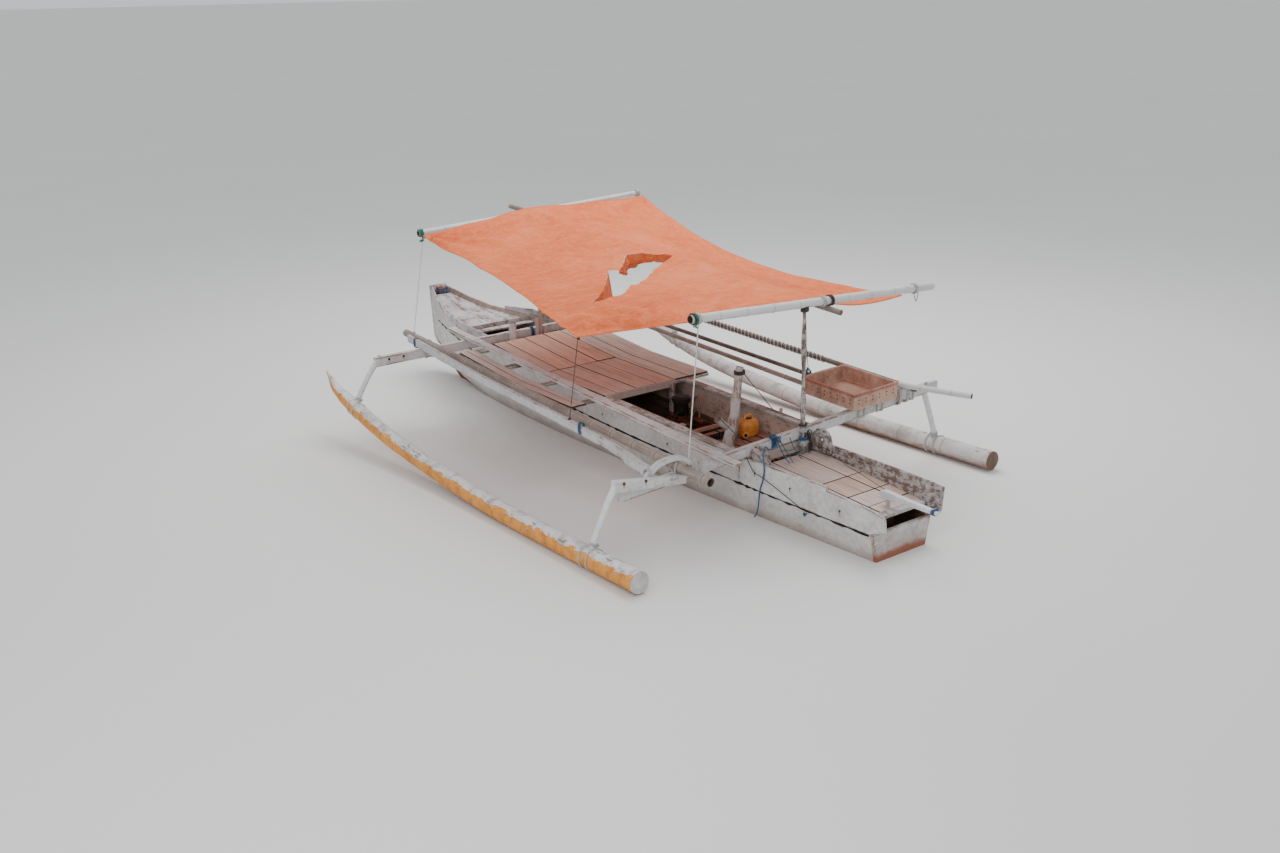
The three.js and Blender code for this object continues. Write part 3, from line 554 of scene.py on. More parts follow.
class Finish:
    """A node material, built up from patterns on the piece's own coordinates."""

    def __init__(self, name, roughness=0.8, metallic=0.0, specular=0.3, sheen=0.0):
        self.material = bpy.data.materials.new(name)
        self.material.use_nodes = True
        self.tree = self.material.node_tree
        self.shader = self.tree.nodes["Principled BSDF"]
        for key, value in (
            ("Roughness", roughness),
            ("Metallic", metallic),
            ("Specular IOR Level", specular),
            ("Sheen Weight", sheen),
        ):
            self.shader.inputs[key].default_value = value
        coordinates = self.make("ShaderNodeTexCoord", {})
        self.place = coordinates.outputs["Object"]
        self.uv = coordinates.outputs["UV"]

    def make(self, kind, sockets, **settings):
        node = self.tree.nodes.new(kind)
        for key, value in settings.items():
            setattr(node, key, value)
        for key, value in sockets.items():
            if isinstance(value, bpy.types.NodeSocket):
                self.tree.links.new(value, node.inputs[key])
            else:
                node.inputs[key].default_value = value
        return node

    def noise(self, where, scale, detail=5.0, rough=0.6, twist=0.0):
        sockets = {"Scale": scale, "Detail": detail, "Roughness": rough, "Distortion": twist}
        return self.make("ShaderNodeTexNoise", {"Vector": where, **sockets}).outputs[0]

    def stretch(self, where, x, y, z=1.0):
        return self.make("ShaderNodeMapping", {"Vector": where, "Scale": (x, y, z)}).outputs[0]

    def drawn(self, x, y, detail, rough, twist=0.0):
        """Noise drawn out along the UV map, as grain is."""
        return self.noise(self.stretch(self.uv, x, y), 1, detail, rough, twist)

    def axis(self, where, name):
        return self.make("ShaderNodeSeparateXYZ", {"Vector": where}).outputs[name]

    def attribute(self, name):
        return self.make("ShaderNodeAttribute", {}, attribute_name=name).outputs["Fac"]

    def calc(self, operation, a, b=0.0):
        return self.make("ShaderNodeMath", {0: a, 1: b}, operation=operation).outputs[0]

    def total(self, *terms):
        """The sum of values, each times its weight."""
        whole = None
        for value, weight in terms:
            term = self.calc("MULTIPLY", value, weight)
            whole = term if whole is None else self.calc("ADD", whole, term)
        return whole

    def spread(self, value, low, high, to_low=0.0, to_high=1.0):
        sockets = {0: value, 1: low, 2: high, 3: to_low, 4: to_high}
        return self.make("ShaderNodeMapRange", sockets).outputs[0]

    def off_middle(self, value):
        return self.calc("ABSOLUTE", self.calc("SUBTRACT", value, 0.5))

    def rings(self, step, low, high, strong=1.0):
        """Rings that lie a step apart along the UV map."""
        phase = self.calc("FRACT", self.calc("DIVIDE", self.axis(self.uv, "X"), step))
        return self.spread(self.off_middle(phase), low, high, 0, strong)

    def ramp(self, value, *stops):
        node = self.make("ShaderNodeValToRGB", {0: value})
        while len(node.color_ramp.elements) < len(stops):
            node.color_ramp.elements.new(0.5)
        for element, (place, text) in zip(node.color_ramp.elements, stops):
            element.position = place
            element.color = hue(text)
        return node.outputs[0]

    def mix(self, share, a, b, blend="MIX"):
        a, b = (hue(c) if isinstance(c, str) else c for c in (a, b))
        node = self.make(
            "ShaderNodeMix", {0: share, 6: a, 7: b}, data_type="RGBA", blend_type=blend
        )
        return node.outputs[2]

    def done(self, colour, height, strength=0.5, distance=0.004, roughness=None):
        self.tree.links.new(colour, self.shader.inputs["Base Color"])
        sockets = {"Height": height, "Strength": strength, "Distance": distance}
        normal = self.make("ShaderNodeBump", sockets).outputs[0]
        self.tree.links.new(normal, self.shader.inputs["Normal"])
        if roughness is not None:
            self.tree.links.new(roughness, self.shader.inputs["Roughness"])
        return self.material


def painted_wood(
    name, bare, paint="cfcccb", faded="a8a29f", wood="84705f", dark="4d3d35", light="a39184",
    worn=0.13, bands=(), scale=1.0,
):
    """Old paint that flakes off along the grain and at edges. bare is how much is gone.
    Each band is (low z, high z, colour, how strong): a stain that fades out upwards."""
    f = Finish(name, 0.75)
    fibre, streak = f.drawn(5, 140, 6, 0.66), f.drawn(1.6, 26, 4, 0.6)
    patches, flakes = f.noise(f.place, 5.5 * scale, 9, 0.68), f.drawn(15, 55, 7, 0.72)
    cover = f.total((patches, 0.5), (flakes, 0.34), (streak, 0.16), (f.attribute("wear"), -worn))
    painted = f.spread(cover, bare - 0.012, bare + 0.012)
    thin = f.spread(cover, bare + 0.1, bare + 0.01)
    timber = f.ramp(f.total((fibre, 0.7), (streak, 0.3)), (0.34, dark), (0.5, wood), (0.66, light))
    tone = f.total((f.noise(f.place, 1.7, 5, 0.6), 0.5), (f.noise(f.place, 23, 6, 0.7), 0.5))
    coat = f.ramp(tone, (0.38, faded), (0.56, paint))
    coat = f.mix(f.calc("MULTIPLY", thin, 0.4), coat, wood)
    coat = f.mix(f.spread(streak, 0.58, 0.74, 0, 0.45), coat, faded)
    colour = f.mix(painted, timber, coat)
    height = f.axis(f.place, "Z")
    for low, high, stain, strong in bands:
        rough_z = f.calc("ADD", height, f.total((f.noise(f.place, 4, 7, 0.7), -0.16)))
        share = f.spread(rough_z, high - 0.08, low - 0.08, 0, strong)
        colour = f.mix(share, colour, stain)
    bump = f.total((painted, 0.55), (fibre, 0.35), (cover, 0.6))
    return f.done(colour, bump, 0.45, 0.003)


def plain_wood(name, dark, wood, light, blotch=None, amount=0.5, roughness=0.85):
    """Bare weathered wood, with grain, cracks and blotches."""
    f = Finish(name, roughness)
    fibre = f.drawn(4, 110, 7, 0.68, 0.4)
    grainy = f.total((fibre, 0.6), (f.drawn(0.9, 16, 4, 0.6), 0.4))
    colour = f.ramp(grainy, (0.33, dark), (0.5, wood), (0.68, light))
    patches = f.noise(f.place, 4.3, 7, 0.7)
    if blotch:
        colour = f.mix(f.spread(patches, 0.45, 0.66, 0, amount), colour, blotch)
    colour = f.mix(f.total((f.attribute("wear"), 0.35)), colour, light)
    crack = f.spread(f.drawn(2.5, 75, 3, 0.5), 0.66, 0.7)
    colour = f.mix(f.calc("MULTIPLY", crack, 0.7), colour, dark)
    return f.done(colour, f.total((fibre, 0.6), (crack, -0.7)), 0.5, 0.003)


def bamboo_finish(name, dark, wood, light, paint=None, bare=0.45):
    """Bamboo with a ring at each node, either bare or under old paint."""
    f = Finish(name, 0.62, specular=0.4)
    ring, halo = f.rings(NODE_STEP, 0.462, 0.492), f.rings(NODE_STEP, 0.36, 0.47)
    fibre = f.drawn(3, 120, 5, 0.6)
    tone = f.noise(f.stretch(f.place, 3, 1.2, 3), 1, 6, 0.65)
    mixed = f.total((fibre, 0.45), (tone, 0.55))
    colour = f.ramp(mixed, (0.36, dark), (0.52, wood), (0.66, light))
    colour = f.mix(f.calc("MULTIPLY", halo, 0.45), colour, light)
    height = f.total((fibre, 0.3), (ring, 0.5))
    if paint:
        patches = f.total((f.noise(f.place, 7, 8, 0.7), 0.6), (f.drawn(8, 60, 6, 0.7), 0.4))
        painted = f.spread(patches, bare - 0.015, bare + 0.015)
        coat = f.mix(f.spread(f.noise(f.place, 2, 5), 0.4, 0.65), light, paint)
        colour = f.mix(painted, colour, coat)
        height = f.total((height, 0.6), (painted, 0.4))
    colour = f.mix(f.calc("MULTIPLY", ring, 0.3 if paint else 0.75), colour, dark)
    return f.done(colour, height, 0.5, 0.003)


def port_float_finish():
    """White above, yellow below with a flaky edge, and a dark band along the very bottom: the wet line
    and painted shade of the underside.
    """
    f = Finish("float_two_colours", 0.7)
    fibre, under = f.drawn(4, 90, 6, 0.65), f.attribute("under")
    patches = f.noise(f.stretch(f.place, 6, 2.5, 6), 1, 9, 0.72)
    cover = f.total((patches, 0.4), (f.drawn(10, 38, 7, 0.72), 0.6))
    white = f.ramp(f.noise(f.place, 9, 7, 0.7), (0.36, "b3b1af"), (0.52, "d9d8d7"))
    ochre = f.ramp(f.noise(f.place, 12, 7, 0.7), (0.35, "bd7a36"), (0.55, "e39a4a"))
    lower = f.spread(f.total((under, 1.0), (cover, 2.6)), 0.60, 0.65)
    colour = f.mix(lower, white, ochre)
    lost = f.spread(f.total((cover, 1), (under, 0.03)), 0.415, 0.395)
    wood = f.ramp(fibre, (0.36, "5e5146"), (0.6, "a39888"))
    colour = f.mix(f.calc("MULTIPLY", lost, 0.85), colour, wood)
    # Darkest along the very bottom: the wet line, and painted shade of the underside.
    wet_line_and_shade = f.spread(f.total((under, 1.0), (cover, 0.7)), 1.18, 1.3)
    colour = f.mix(f.calc("MULTIPLY", wet_line_and_shade, 0.9), colour, "2f2b22")
    colour = f.mix(f.rings(0.62, 0.485, 0.497, 0.4), colour, "6b6156")
    return f.done(colour, f.total((lost, -0.7), (fibre, 0.25)), 0.45, 0.004)


def starboard_float_finish():
    """White, with node rings and a red-brown stain along the underside."""
    f = Finish("float_white", 0.7)
    fibre, under = f.drawn(4, 90, 6, 0.65), f.attribute("under")
    patches = f.noise(f.stretch(f.place, 6, 3, 6), 1, 9, 0.7)
    cover = f.total((patches, 0.55), (f.drawn(10, 38, 7, 0.7), 0.45))
    white = f.ramp(f.noise(f.place, 5, 7, 0.7), (0.36, "a7a09b"), (0.54, "cfcbc9"))
    stain = f.spread(f.total((under, 1.0), (cover, 3.0)), 1.45, 2.1, 0, 0.85)
    colour = f.mix(stain, white, "8d6250")
    lost = f.spread(cover, 0.43, 0.4)
    colour = f.mix(lost, colour, "7d6a5c")
    # Darkest along the very bottom: the wet line, and painted shade of the underside.
    wet_line_and_shade = f.spread(f.total((under, 1.0), (cover, 0.7)), 1.22, 1.34)
    colour = f.mix(wet_line_and_shade, colour, "3a2f28")
    colour = f.mix(f.rings(0.5, 0.484, 0.496, 0.55), colour, "6b6156")
    return f.done(colour, f.total((lost, -0.6), (fibre, 0.25)), 0.45, 0.004)


THREADS = 1700  # the sheeting's weave, in radians in a metre


def tarp_finish(name, dark, base, light):
    """Sun-bleached woven sheeting, creased all over."""
    f = Finish(name, 0.8, specular=0.15)
    weave = [f.calc("SINE", f.calc("MULTIPLY", f.axis(f.uv, way), THREADS)) for way in "XY"]
    threads = f.calc("MULTIPLY", *weave)
    crease = f.noise(f.uv, 6, 6, 0.6, 1.8)
    fine = f.noise(f.uv, 19, 5, 0.6, 1.2)
    fold = f.noise(f.stretch(f.uv, 1.2, 3.4), 2.4, 5, 0.55, 1.0)
    ridges, small = f.off_middle(crease), f.off_middle(fine)
    tone = f.total((f.noise(f.uv, 1.3, 5, 0.6), 0.6), (f.noise(f.uv, 11, 7, 0.7), 0.4))
    colour = f.ramp(tone, (0.34, dark), (0.5, base), (0.66, light))
    grimy = f.spread(f.noise(f.uv, 3.1, 8, 0.75), 0.55, 0.74, 0, 0.35)
    colour = f.mix(grimy, colour, dark)
    pale = f.spread(ridges, 0.03, 0.0, 0, 0.35)
    colour = f.mix(pale, colour, "f6a37b")
    height = f.total((ridges, 1.5), (small, 0.5), (fold, 1.3), (threads, 0.012))
    return f.done(colour, height, 0.7, 0.03)


def plastic_finish(name, dark, base, light, roughness=0.5):
    """Sun-faded plastic with scuffs and dirt."""
    f = Finish(name, roughness, specular=0.4)
    tone = f.total((f.noise(f.place, 6, 6, 0.65), 0.6), (f.noise(f.place, 40, 6, 0.7), 0.4))
    colour = f.ramp(tone, (0.36, dark), (0.5, base), (0.66, light))
    colour = f.mix(f.calc("MULTIPLY", f.attribute("wear"), 0.35), colour, light)
    return f.done(colour, tone, 0.3, 0.002)


def iron_finish(name, black, rust, orange, amount, metallic=0.4):
    """Painted or bare iron under rust."""
    f = Finish(name, 0.65, metallic=metallic)
    patches = f.noise(f.place, 16, 8, 0.7)
    rusty = f.spread(f.total((patches, 1), (f.attribute("wear"), 0.08)), amount, amount + 0.06)
    crust = f.ramp(f.noise(f.place, 60, 6, 0.7), (0.35, rust), (0.65, orange))
    colour = f.mix(rusty, f.ramp(patches, (0.3, black), (0.7, rust)), crust)
    return f.done(colour, f.total((patches, 0.6), (rusty, 0.4)), 0.5, 0.003)


def cord_finish(name, first, second, third=None):
    """Twisted cord. Its UV map runs along in metres and once round."""
    f = Finish(name, 0.85, specular=0.2, sheen=0.2)
    twist = f.total((f.axis(f.uv, "X"), 60.0), (f.axis(f.uv, "Y"), 3.0))
    strand = f.calc("SINE", f.calc("MULTIPLY", twist, math.tau))
    tone = f.noise(f.place, 45, 5, 0.7)
    colour = f.ramp(tone, (0.36, first), (0.62, second))
    if third:
        colour = f.mix(f.spread(f.noise(f.place, 13, 3), 0.48, 0.56), colour, third)
    # Darker in the grooves between strands: painted shade.
    colour = f.mix(f.spread(strand, 0.0, -1.0, 0, 0.5), colour, "1d1a18")
    return f.done(colour, strand, 0.6, 0.002)


RED_BAND = (-0.02, 0.10, "86604f", 0.7)
GREEN_BAND = (0.02, 0.30, "9a9688", 0.3)
HULL = painted_wood("hull_white", 0.365, "d8d6d4", "b6b2ae", "8f8177", bands=(GREEN_BAND, RED_BAND))
HULL_TOP = painted_wood("hull_topsides", 0.375, "d2cfce", "b1adaa", "8f8075")
PEELED = painted_wood("hull_peeled", 0.455, "c9c6ca", "b1abae", "8b7668", "5a4a41", worn=0.03)
FLAKED = painted_wood("hull_flaked", 0.49, "bfbbb9", "a19996", "75625a", "40332d", worn=0.0, scale=3.6)
BEAM = painted_wood("beam_white", 0.375, "d2d0d0", "b3afae", "9a8071", "5b4a40")
RAIL_WHITE = painted_wood("rail_white", 0.39, "cfcdce", "b2aead", "8b7465", "463830", worn=0.06)
HULL_INSIDE = painted_wood("hull_inside", 0.455, "b5a398", "9c877d", "8e7061", "4a362e", worn=0.0)
POST = painted_wood("post_peeled", 0.465, "cbc5c2", "b3aaa6", "8d7466", "57443a", worn=0.0)
KNEE_WHITE = painted_wood("knee_white", 0.30, "d6d6d7", "bdbcbc", "9a8879")
POLE_WHITE = painted_wood("pole_white", 0.33, "e0e0e2", "c4c3c4", "8c7e72", worn=0)
BOTTOM = painted_wood("bottom_red", 0.36, "7a4437", "5f3a30", "6c5a4c")
TRANSOM = painted_wood(
    "transom_white", 0.40, "cecbca", "b0a9a5", "93725f", "5b3c2f", worn=0.1, scale=1.4,
    bands=((0.0, 0.20, "a58476", 0.6), (0.03, 0.075, "94523a", 0.9)),
)
FLOAT_PORT = port_float_finish()
FLOAT_STARBOARD = starboard_float_finish()
DECK_RED = plain_wood("deck_red", "9a7463", "d8a892", "e8c4b0", "c2a798", 0.45)
FLOOR_RED = plain_wood("floor_red", "5c3c33", "94695a", "b28c7c", "7c6156", 0.4)
DECK_WORN = plain_wood("deck_worn", "927668", "cfab9b", "e0c8bc", "b09789", 0.5)
DECK_TAN = plain_wood("deck_tan", "927b6f", "c9ac9c", "dcc6b8", "b49484", 0.4)
# Near black on the boards' upright faces: painted shade in the gaps between boards.
BOARD_GAP_SHADE = plain_wood("board_edges_gap_shade", "17110e", "33261f", "5a483d")
DECK_GREY = plain_wood("deck_grey", "97897f", "cdbdb2", "dfd4cb", "c4a596", 0.3)
DECK_PINK = plain_wood("deck_pink", "96817a", "cfb9af", "dfcfc6", "b59b8e", 0.35)
BARE = plain_wood("bare_wood", "6f5d54", "ad9a90", "c8bab2", "b99f92", 0.5)
DARK = plain_wood("dark_wood", "2a201c", "4d3b33", "75625a", "3b2c26", 0.5)
CAULKING_AND_LAP_SHADOW = plain_wood("caulking_lap_shadow_dark", "0b0a09", "1b1714", "332b26")
BILGE = plain_wood("bilge", "1c1512", "54402f", "7c6250", "2b201b", 0.7)
END_WOOD = plain_wood("end_grain", "3b2f29", "6f5a4c", "8b7768")
SIDE_DECK = plain_wood("side_deck", "94807a", "cfbab0", "dfd2ca", "c0b0a8", 0.4)
BAMBOO = bamboo_finish("bamboo_brown", "665a52", "988a80", "bdaea4")
BAMBOO_WHITE = bamboo_finish("bamboo_white", "7b6f67", "b3aaa5", "cfccca", "d8d8d9", 0.40)
BAMBOO_DARK = bamboo_finish("bamboo_dark", "2d2521", "5c4d44", "8b7d74")
TARP = tarp_finish("tarp", "dc6437", "ee7847", "f68c5e")
# A darker copy of the tarp: painted shade for the torn flaps that hang below the sheet.
TARP_SHADED = tarp_finish("tarp_painted_shade", "cf5a31", "e26c40", "ea8052")
CRATE = plastic_finish("crate_pink", "8c6a5a", "b9917d", "cfb09e", 0.6)
CRATE_RIM_RED = plastic_finish("crate_rim", "7d4a40", "a5685a", "bd8574", 0.6)
CAN = plastic_finish("can_orange", "b8702f", "dc9044", "eab26c", 0.42)
BLACK = iron_finish("engine_black", "141312", "2b211d", "5a3a2a", 0.6)
RUST = iron_finish("engine_rust", "120e0c", "43281d", "8a4c30", 0.47)
RUST_BRIGHT = iron_finish("rust_bright", "3a2118", "7a452e", "b06a43", 0.42)
PIPE_PALE = iron_finish("pipe_pale", "6e625b", "8a7468", "a8603c", 0.58)
STEEL = iron_finish("steel_dull", "55524f", "6b5a50", "8a5a40", 0.58, 0.8)
CORD_WHITE = cord_finish("cord_white", "b5b3ae", "dad8d3")
CORD_GREEN = cord_finish("cord_green", "1f6a57", "3c9079")
CORD_BLUE = cord_finish("cord_blue", "27467c", "4a72a8", "2c5f70")
CORD_DARK = cord_finish("cord_dark", "2b2723", "4d453e")
ROPE_BLUE = cord_finish("rope_blue", "2b4c78", "4d6f9b")


# The rope end that hangs over the port side: a free cord
ROPE_RADIUS = 0.006
ROPE_ROUTE = [
    (-0.060, -2.071, 0.560),
    (-0.061, -2.096, 0.559),
    (-0.130, -2.135, 0.540),
    (-0.200, -2.170, 0.548),
    (-0.270, -2.200, 0.570),
    (-0.318, -2.222, 0.607),
    (-0.343, -2.236, 0.606),
    (-0.366, -2.246, 0.588),
    (-0.377, -2.258, 0.550),
    (-0.383, -2.272, 0.505),
    (-0.385, -2.280, 0.455),
    (-0.387, -2.276, 0.400),
    (-0.389, -2.262, 0.340),
    (-0.391, -2.245, 0.290),
    (-0.392, -2.236, 0.235),
    (-0.392, -2.230, 0.180),
    (-0.391, -2.222, 0.125),
    (-0.390, -2.206, 0.075),
    (-0.390, -2.180, 0.035),
]


def hang_rope():
    path = smooth_path(ROPE_ROUTE, 0.007)
    part = tube(path, ROPE_RADIUS, 10, girth=1)
    rope = piece("rope_port_side", [part], [ROPE_BLUE], "rope", "rope_port")
    distances(path)[-1]


# Hull stations from stern to bow. Columns: y, then keel z, chine x and z, seam x and z,
# gunwale x and z
STATIONS = [
    (-3.310, -0.140, 0.250, -0.075, 0.312, 0.226, 0.334, 0.455),
    (-2.071, -0.207, 0.271, -0.098, 0.391, 0.282, 0.376, 0.490),
    (-2.009, -0.210, 0.272, -0.099, 0.396, 0.285, 0.452, 0.522),
    (-1.500, -0.230, 0.280, -0.105, 0.414, 0.305, 0.458, 0.545),
    (-0.500, -0.250, 0.283, -0.106, 0.424, 0.345, 0.460, 0.575),
    (0.500, -0.240, 0.272, -0.096, 0.408, 0.395, 0.460, 0.600),
    (1.554, -0.200, 0.228, -0.052, 0.352, 0.455, 0.462, 0.7025),
    (2.100, -0.150, 0.180, 0.000, 0.300, 0.505, 0.440, 0.742),
    (2.800, 0.000, 0.118, 0.120, 0.186, 0.580, 0.252, 0.802),
    (3.290, 0.300, 0.074, 0.390, 0.086, 0.650, 0.097, 0.940),
]
# The boards at the stern, up to under the aft beam. Columns: y, seam x and z, top x and z
UNDER_BEAM = [(-2.071, 0.391, 0.282, 0.376, 0.482), (-2.012, 0.395, 0.285, 0.392, 0.480)]
WASHBOARDS = {
    "starboard": [
        (-3.440, 0.304, 0.288, 0.331, 0.470),
        (-3.310, 0.312, 0.226, 0.338, 0.478),
        (-2.900, 0.342, 0.250, 0.351, 0.484),
        *UNDER_BEAM,
    ],
    "port": [
        (-3.445, 0.304, 0.285, 0.322, 0.392),
        (-3.310, 0.312, 0.226, 0.333, 0.425),
        (-2.905, 0.342, 0.250, 0.350, 0.455),
        (-2.900, 0.342, 0.250, 0.350, 0.484),
        *UNDER_BEAM,
    ],
}
STERN, BOW, UPPER_AFT = STATIONS[0][0], STATIONS[-1][0], STATIONS[2][0]
WASH_MIDDLE = -2.49  # one more place along the boards at the stern
PLANK = 0.022
LAP = 0.007  # how far an upper board stands out over the one below
# A black broken strip just below the lap of the upper boards: old caulking in the seam, and painted
# shadow of the lap
CAULKING_SHADOW_FORE, CAULKING_SHADOW_AFT, CAULKING_SHADOW_DROP, CAULKING_SHADOW_OUT = 3.1, -3.30, 0.015, 0.001
CAULKING_SHADOW_WIDTHS = (0.004, 0.008, 0.011, 0.013)


def eased(rows, y):
    """A row of the station table at y, on a smooth curve through the stations."""
    i = max(k for k, row in enumerate(rows[:-1]) if row[0] <= y + 1e-9)
    low, high = rows[i], rows[i + 1]
    before, after = rows[max(i - 1, 0)], rows[min(i + 2, len(rows) - 1)]
    span = high[0] - low[0]
    t = (y - low[0]) / span
    made = []
    for a, b, c, d in zip(before[1:], low[1:], high[1:], after[1:]):
        leave = (c - a) / (high[0] - before[0]) * span
        reach = (d - b) / (after[0] - low[0]) * span
        made.append(
            b + leave * t + (3 * c - 3 * b - 2 * leave - reach) * t**2
            + (2 * b - 2 * c + leave + reach) * t**3
        )
    return made


def hull_board(rows, ys, column, sign, low_out, drop, seed, chips):
    """One run of planking. column is where its lower edge's x stands in a row. That edge
    stands out by low_out over the board below, and laps over it by drop."""
    made = []
    for y in ys:
        values = eased(rows, y)
        (x0, z0), (x1, z1) = values[column:column + 2], values[column + 2:column + 4]
        run = Vector((x1 - x0, z1 - z0)).normalized()
        out = Vector((run.y, -run.x))
        outer_low = Vector((x0, z0)) + out * low_out - run * drop
        outer_high = Vector((x1, z1))
        corners = [outer_low, outer_high, outer_high - out * PLANK, outer_low - out * PLANK]
        made.append([Vector((sign * x, y, z)) for x, z in corners])
    return plank(made, step=0.2, seed=seed, chips=chips)


def line_inside(part, sign):
    """Gives the faces that look into the hull the second finish."""
    part.normal_update()
    for face in part.faces:
        if face.normal.x * sign < -0.3:
            face.material_index = 1


def plank_hull():
    even = [*STATIONS[:2], *STATIONS[3:]]
    ahead = STATIONS[2:]
    draw = random.Random(11)
    for seed, (side, sign) in enumerate(SIDES.items()):
        aft = WASHBOARDS[side]
        washed = FLAKED if side == "starboard" else HULL_TOP
        low_ys, high_ys = spaced(STERN, BOW, 0.3), spaced(UPPER_AFT, BOW, 0.3)
        wash_ys = sorted([*(row[0] for row in aft), WASH_MIDDLE])
        # Columns: piece, node, stations, places, column, lap, drop, seed, chips, finishes
        runs = [
            ("planking", "side_planks", even, low_ys, 1, 0, 0, seed, 0.004, [HULL, BILGE]),
            ("topside", "upper_strake", ahead, high_ys, 3, LAP, 0.014, seed + 5, 0.010,
             [HULL_TOP, HULL_INSIDE]),
            ("washing", "washboard", aft, wash_ys, 0, LAP, 0.012, seed + 9, 0.014,
             [washed, FLAKED]),
        ]
        for name, node, rows, ys, column, lap, drop, own_seed, chips, finishes in runs:
            board = hull_board(rows, ys, column, sign, lap, drop, own_seed, chips)
            line_inside(board, sign)
            piece(f"{name}_{side}", [board], finishes, "hull_paint", f"{node}_{side}")
        seam = [(y, *eased(even, y)[3:5]) for y in spaced(CAULKING_SHADOW_AFT, CAULKING_SHADOW_FORE, 0.04)]
        line = [Vector((sign * (x + CAULKING_SHADOW_OUT), y, z - CAULKING_SHADOW_DROP)) for y, x, z in seam]
        widths = [(d, draw.choice(CAULKING_SHADOW_WIDTHS)) for d in distances(line)]
        # The strip is caulking in the seam, and painted shadow under the lap.
        caulking_and_lap_shadow = tube(line, widths, 8, 0.5, seed)
        piece(f"caulking_{side}", [caulking_and_lap_shadow], [CAULKING_AND_LAP_SHADOW, CAULKING_AND_LAP_SHADOW], "bottom_paint")
    keel = cad_form("hull_bottom")
    grain(keel, ABOARD)
    piece("bottom_planking", [keel], [BOTTOM], "bottom_paint", "hull_bottom")


# The white plank between the aft deck and the transom, and how far the deck falls to it
STERN_PLANK = {"half": 0.285, "aft": -3.302, "fall": 0.076, "gap": 0.008, "thick": 0.026, "proud": 0.004}


def lay_decks():
    """Every deck as boards. Columns: node, finishes, slot, gap, seams across, butt ends."""
    red = [DECK_RED, BOARD_GAP_SHADE, DECK_WORN]
    decks = [
        ("centre_deck", red, "deck_wood", 0.010,
         (-0.481, -0.345, -0.13, 0.095, 0.299), (-0.361, 0.52, 1.441)),
        ("side_deck_starboard", [DECK_GREY, BOARD_GAP_SHADE, DECK_PINK], "bare_wood", 0.010,
         (0.299, 0.47, 0.706), (-0.361, 1.441)),
        ("side_deck_port", [SIDE_DECK, BOARD_GAP_SHADE, SIDE_DECK], "bare_wood", 0.006,
         (-0.881, -0.8, -0.719), (-0.431, 1.391)),
        ("foredeck", [PEELED] * 3, "hull_paint", 0.004,
         (-0.5, -0.2, 0.0, 0.2, 0.5), (2.0, 3.3)),
        ("aft_deck", [DECK_PINK, BOARD_GAP_SHADE, DECK_TAN], "deck_wood", 0.011,
         (-0.5, -0.12, 0.17, 0.5), (-3.3, -3.11, -2.905, -2.62, -2.0)),
        ("floor_boards", [FLOOR_RED, BOARD_GAP_SHADE, FLOOR_RED], "deck_wood", 0.016,
         (-0.5, -0.28, -0.14, 0.0, 0.14, 0.28, 0.5), (-2.1, -1.331, -1.2)),
    ]
    for seed, (node, finishes, slot, gap, seams, ends) in enumerate(decks):
        made = boards(node, seams, ends, gap, seed)
        piece(f"{node}_boards", made, finishes, slot, node)
    low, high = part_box("aft_deck")
    shape = STERN_PLANK
    half, top = shape["half"], high.z - shape["fall"] + shape["proud"]
    corner = (half, low.y - shape["gap"], top)
    made = block((-half, shape["aft"], top - shape["thick"]), corner, 0.004, 4)
    piece("stern_plank", [made], [PEELED], "hull_paint")


# Loose timbers round the engine well. Columns: lower corner, upper corner, finish
WELL_TIMBERS = [
    ((-0.478, -0.384, 0.566), (0.296, -0.364, 0.628), "bare"),
    ((0.236, -0.402, 0.330), (0.276, -0.364, 0.600), "white"),
    ((-0.290, -1.330, 0.478), (0.060, -1.296, 0.502), "deck"),
    ((-0.330, -1.215, 0.490), (-0.270, -1.165, 0.530), "white"),
    ((-0.270, -1.150, 0.150), (-0.235, -0.480, 0.300), "deck"),
]


def dress_forms():
    """Nodes that keep their form. Columns: piece, node, grain, bevel, border, finish, slot."""
    forms = [
        ("cheek_starboard", "cheek_plate_starboard", ABOARD, 0.003, 0.014, FLAKED, "hull_paint"),
        ("cheek_port", "cheek_plate_port", ABOARD, 0.003, 0.014, FLAKED, "hull_paint"),
        ("transom_board", "transom", ACROSS, 0.003, 0.020, TRANSOM, "hull_paint"),
        ("bow_head_board", "bow_head", ACROSS, 0.003, 0.020, HULL, "hull_paint"),
        ("deck_frame_timber", "deck_frame", ABOARD, 0.003, 0.014, HULL_TOP, "hull_paint"),
        ("foredeck_coaming_timber", "foredeck_coaming", ABOARD, 0.003, 0.014, PEELED, "hull_paint"),
        ("aft_frame_timber", "aft_frame", ACROSS, 0.003, 0.014, BARE, "bare_wood"),
        ("post_thwart_timber", "post_thwart", ACROSS, 0.003, 0.014, BARE, "bare_wood"),
        ("engine_bed_timber", "engine_bed", ABOARD, 0.003, 0.014, DARK, "bare_wood"),
        ("beam_end_port_timber", "beam_end_port", ACROSS, 0.003, 0.014, KNEE_WHITE, "beam_paint"),
        ("crate_shell", "crate", ACROSS, 0.005, 0.012, CRATE, "crate_plastic"),
        ("propeller_form", "propeller", ABOARD, 0.003, 0.010, STEEL, "steel"),
        ("rudder_form", "rudder", ABOARD, 0.003, 0.010, BARE, "bare_wood"),
    ]
    for name, node, along, bevel, border, finish, slot in forms:
        form = soften(cad_form(node), along, bevel, border)
        body = node if node in ("propeller", "rudder") else "root"
        piece(name, [form], [finish], slot, node, body=body)


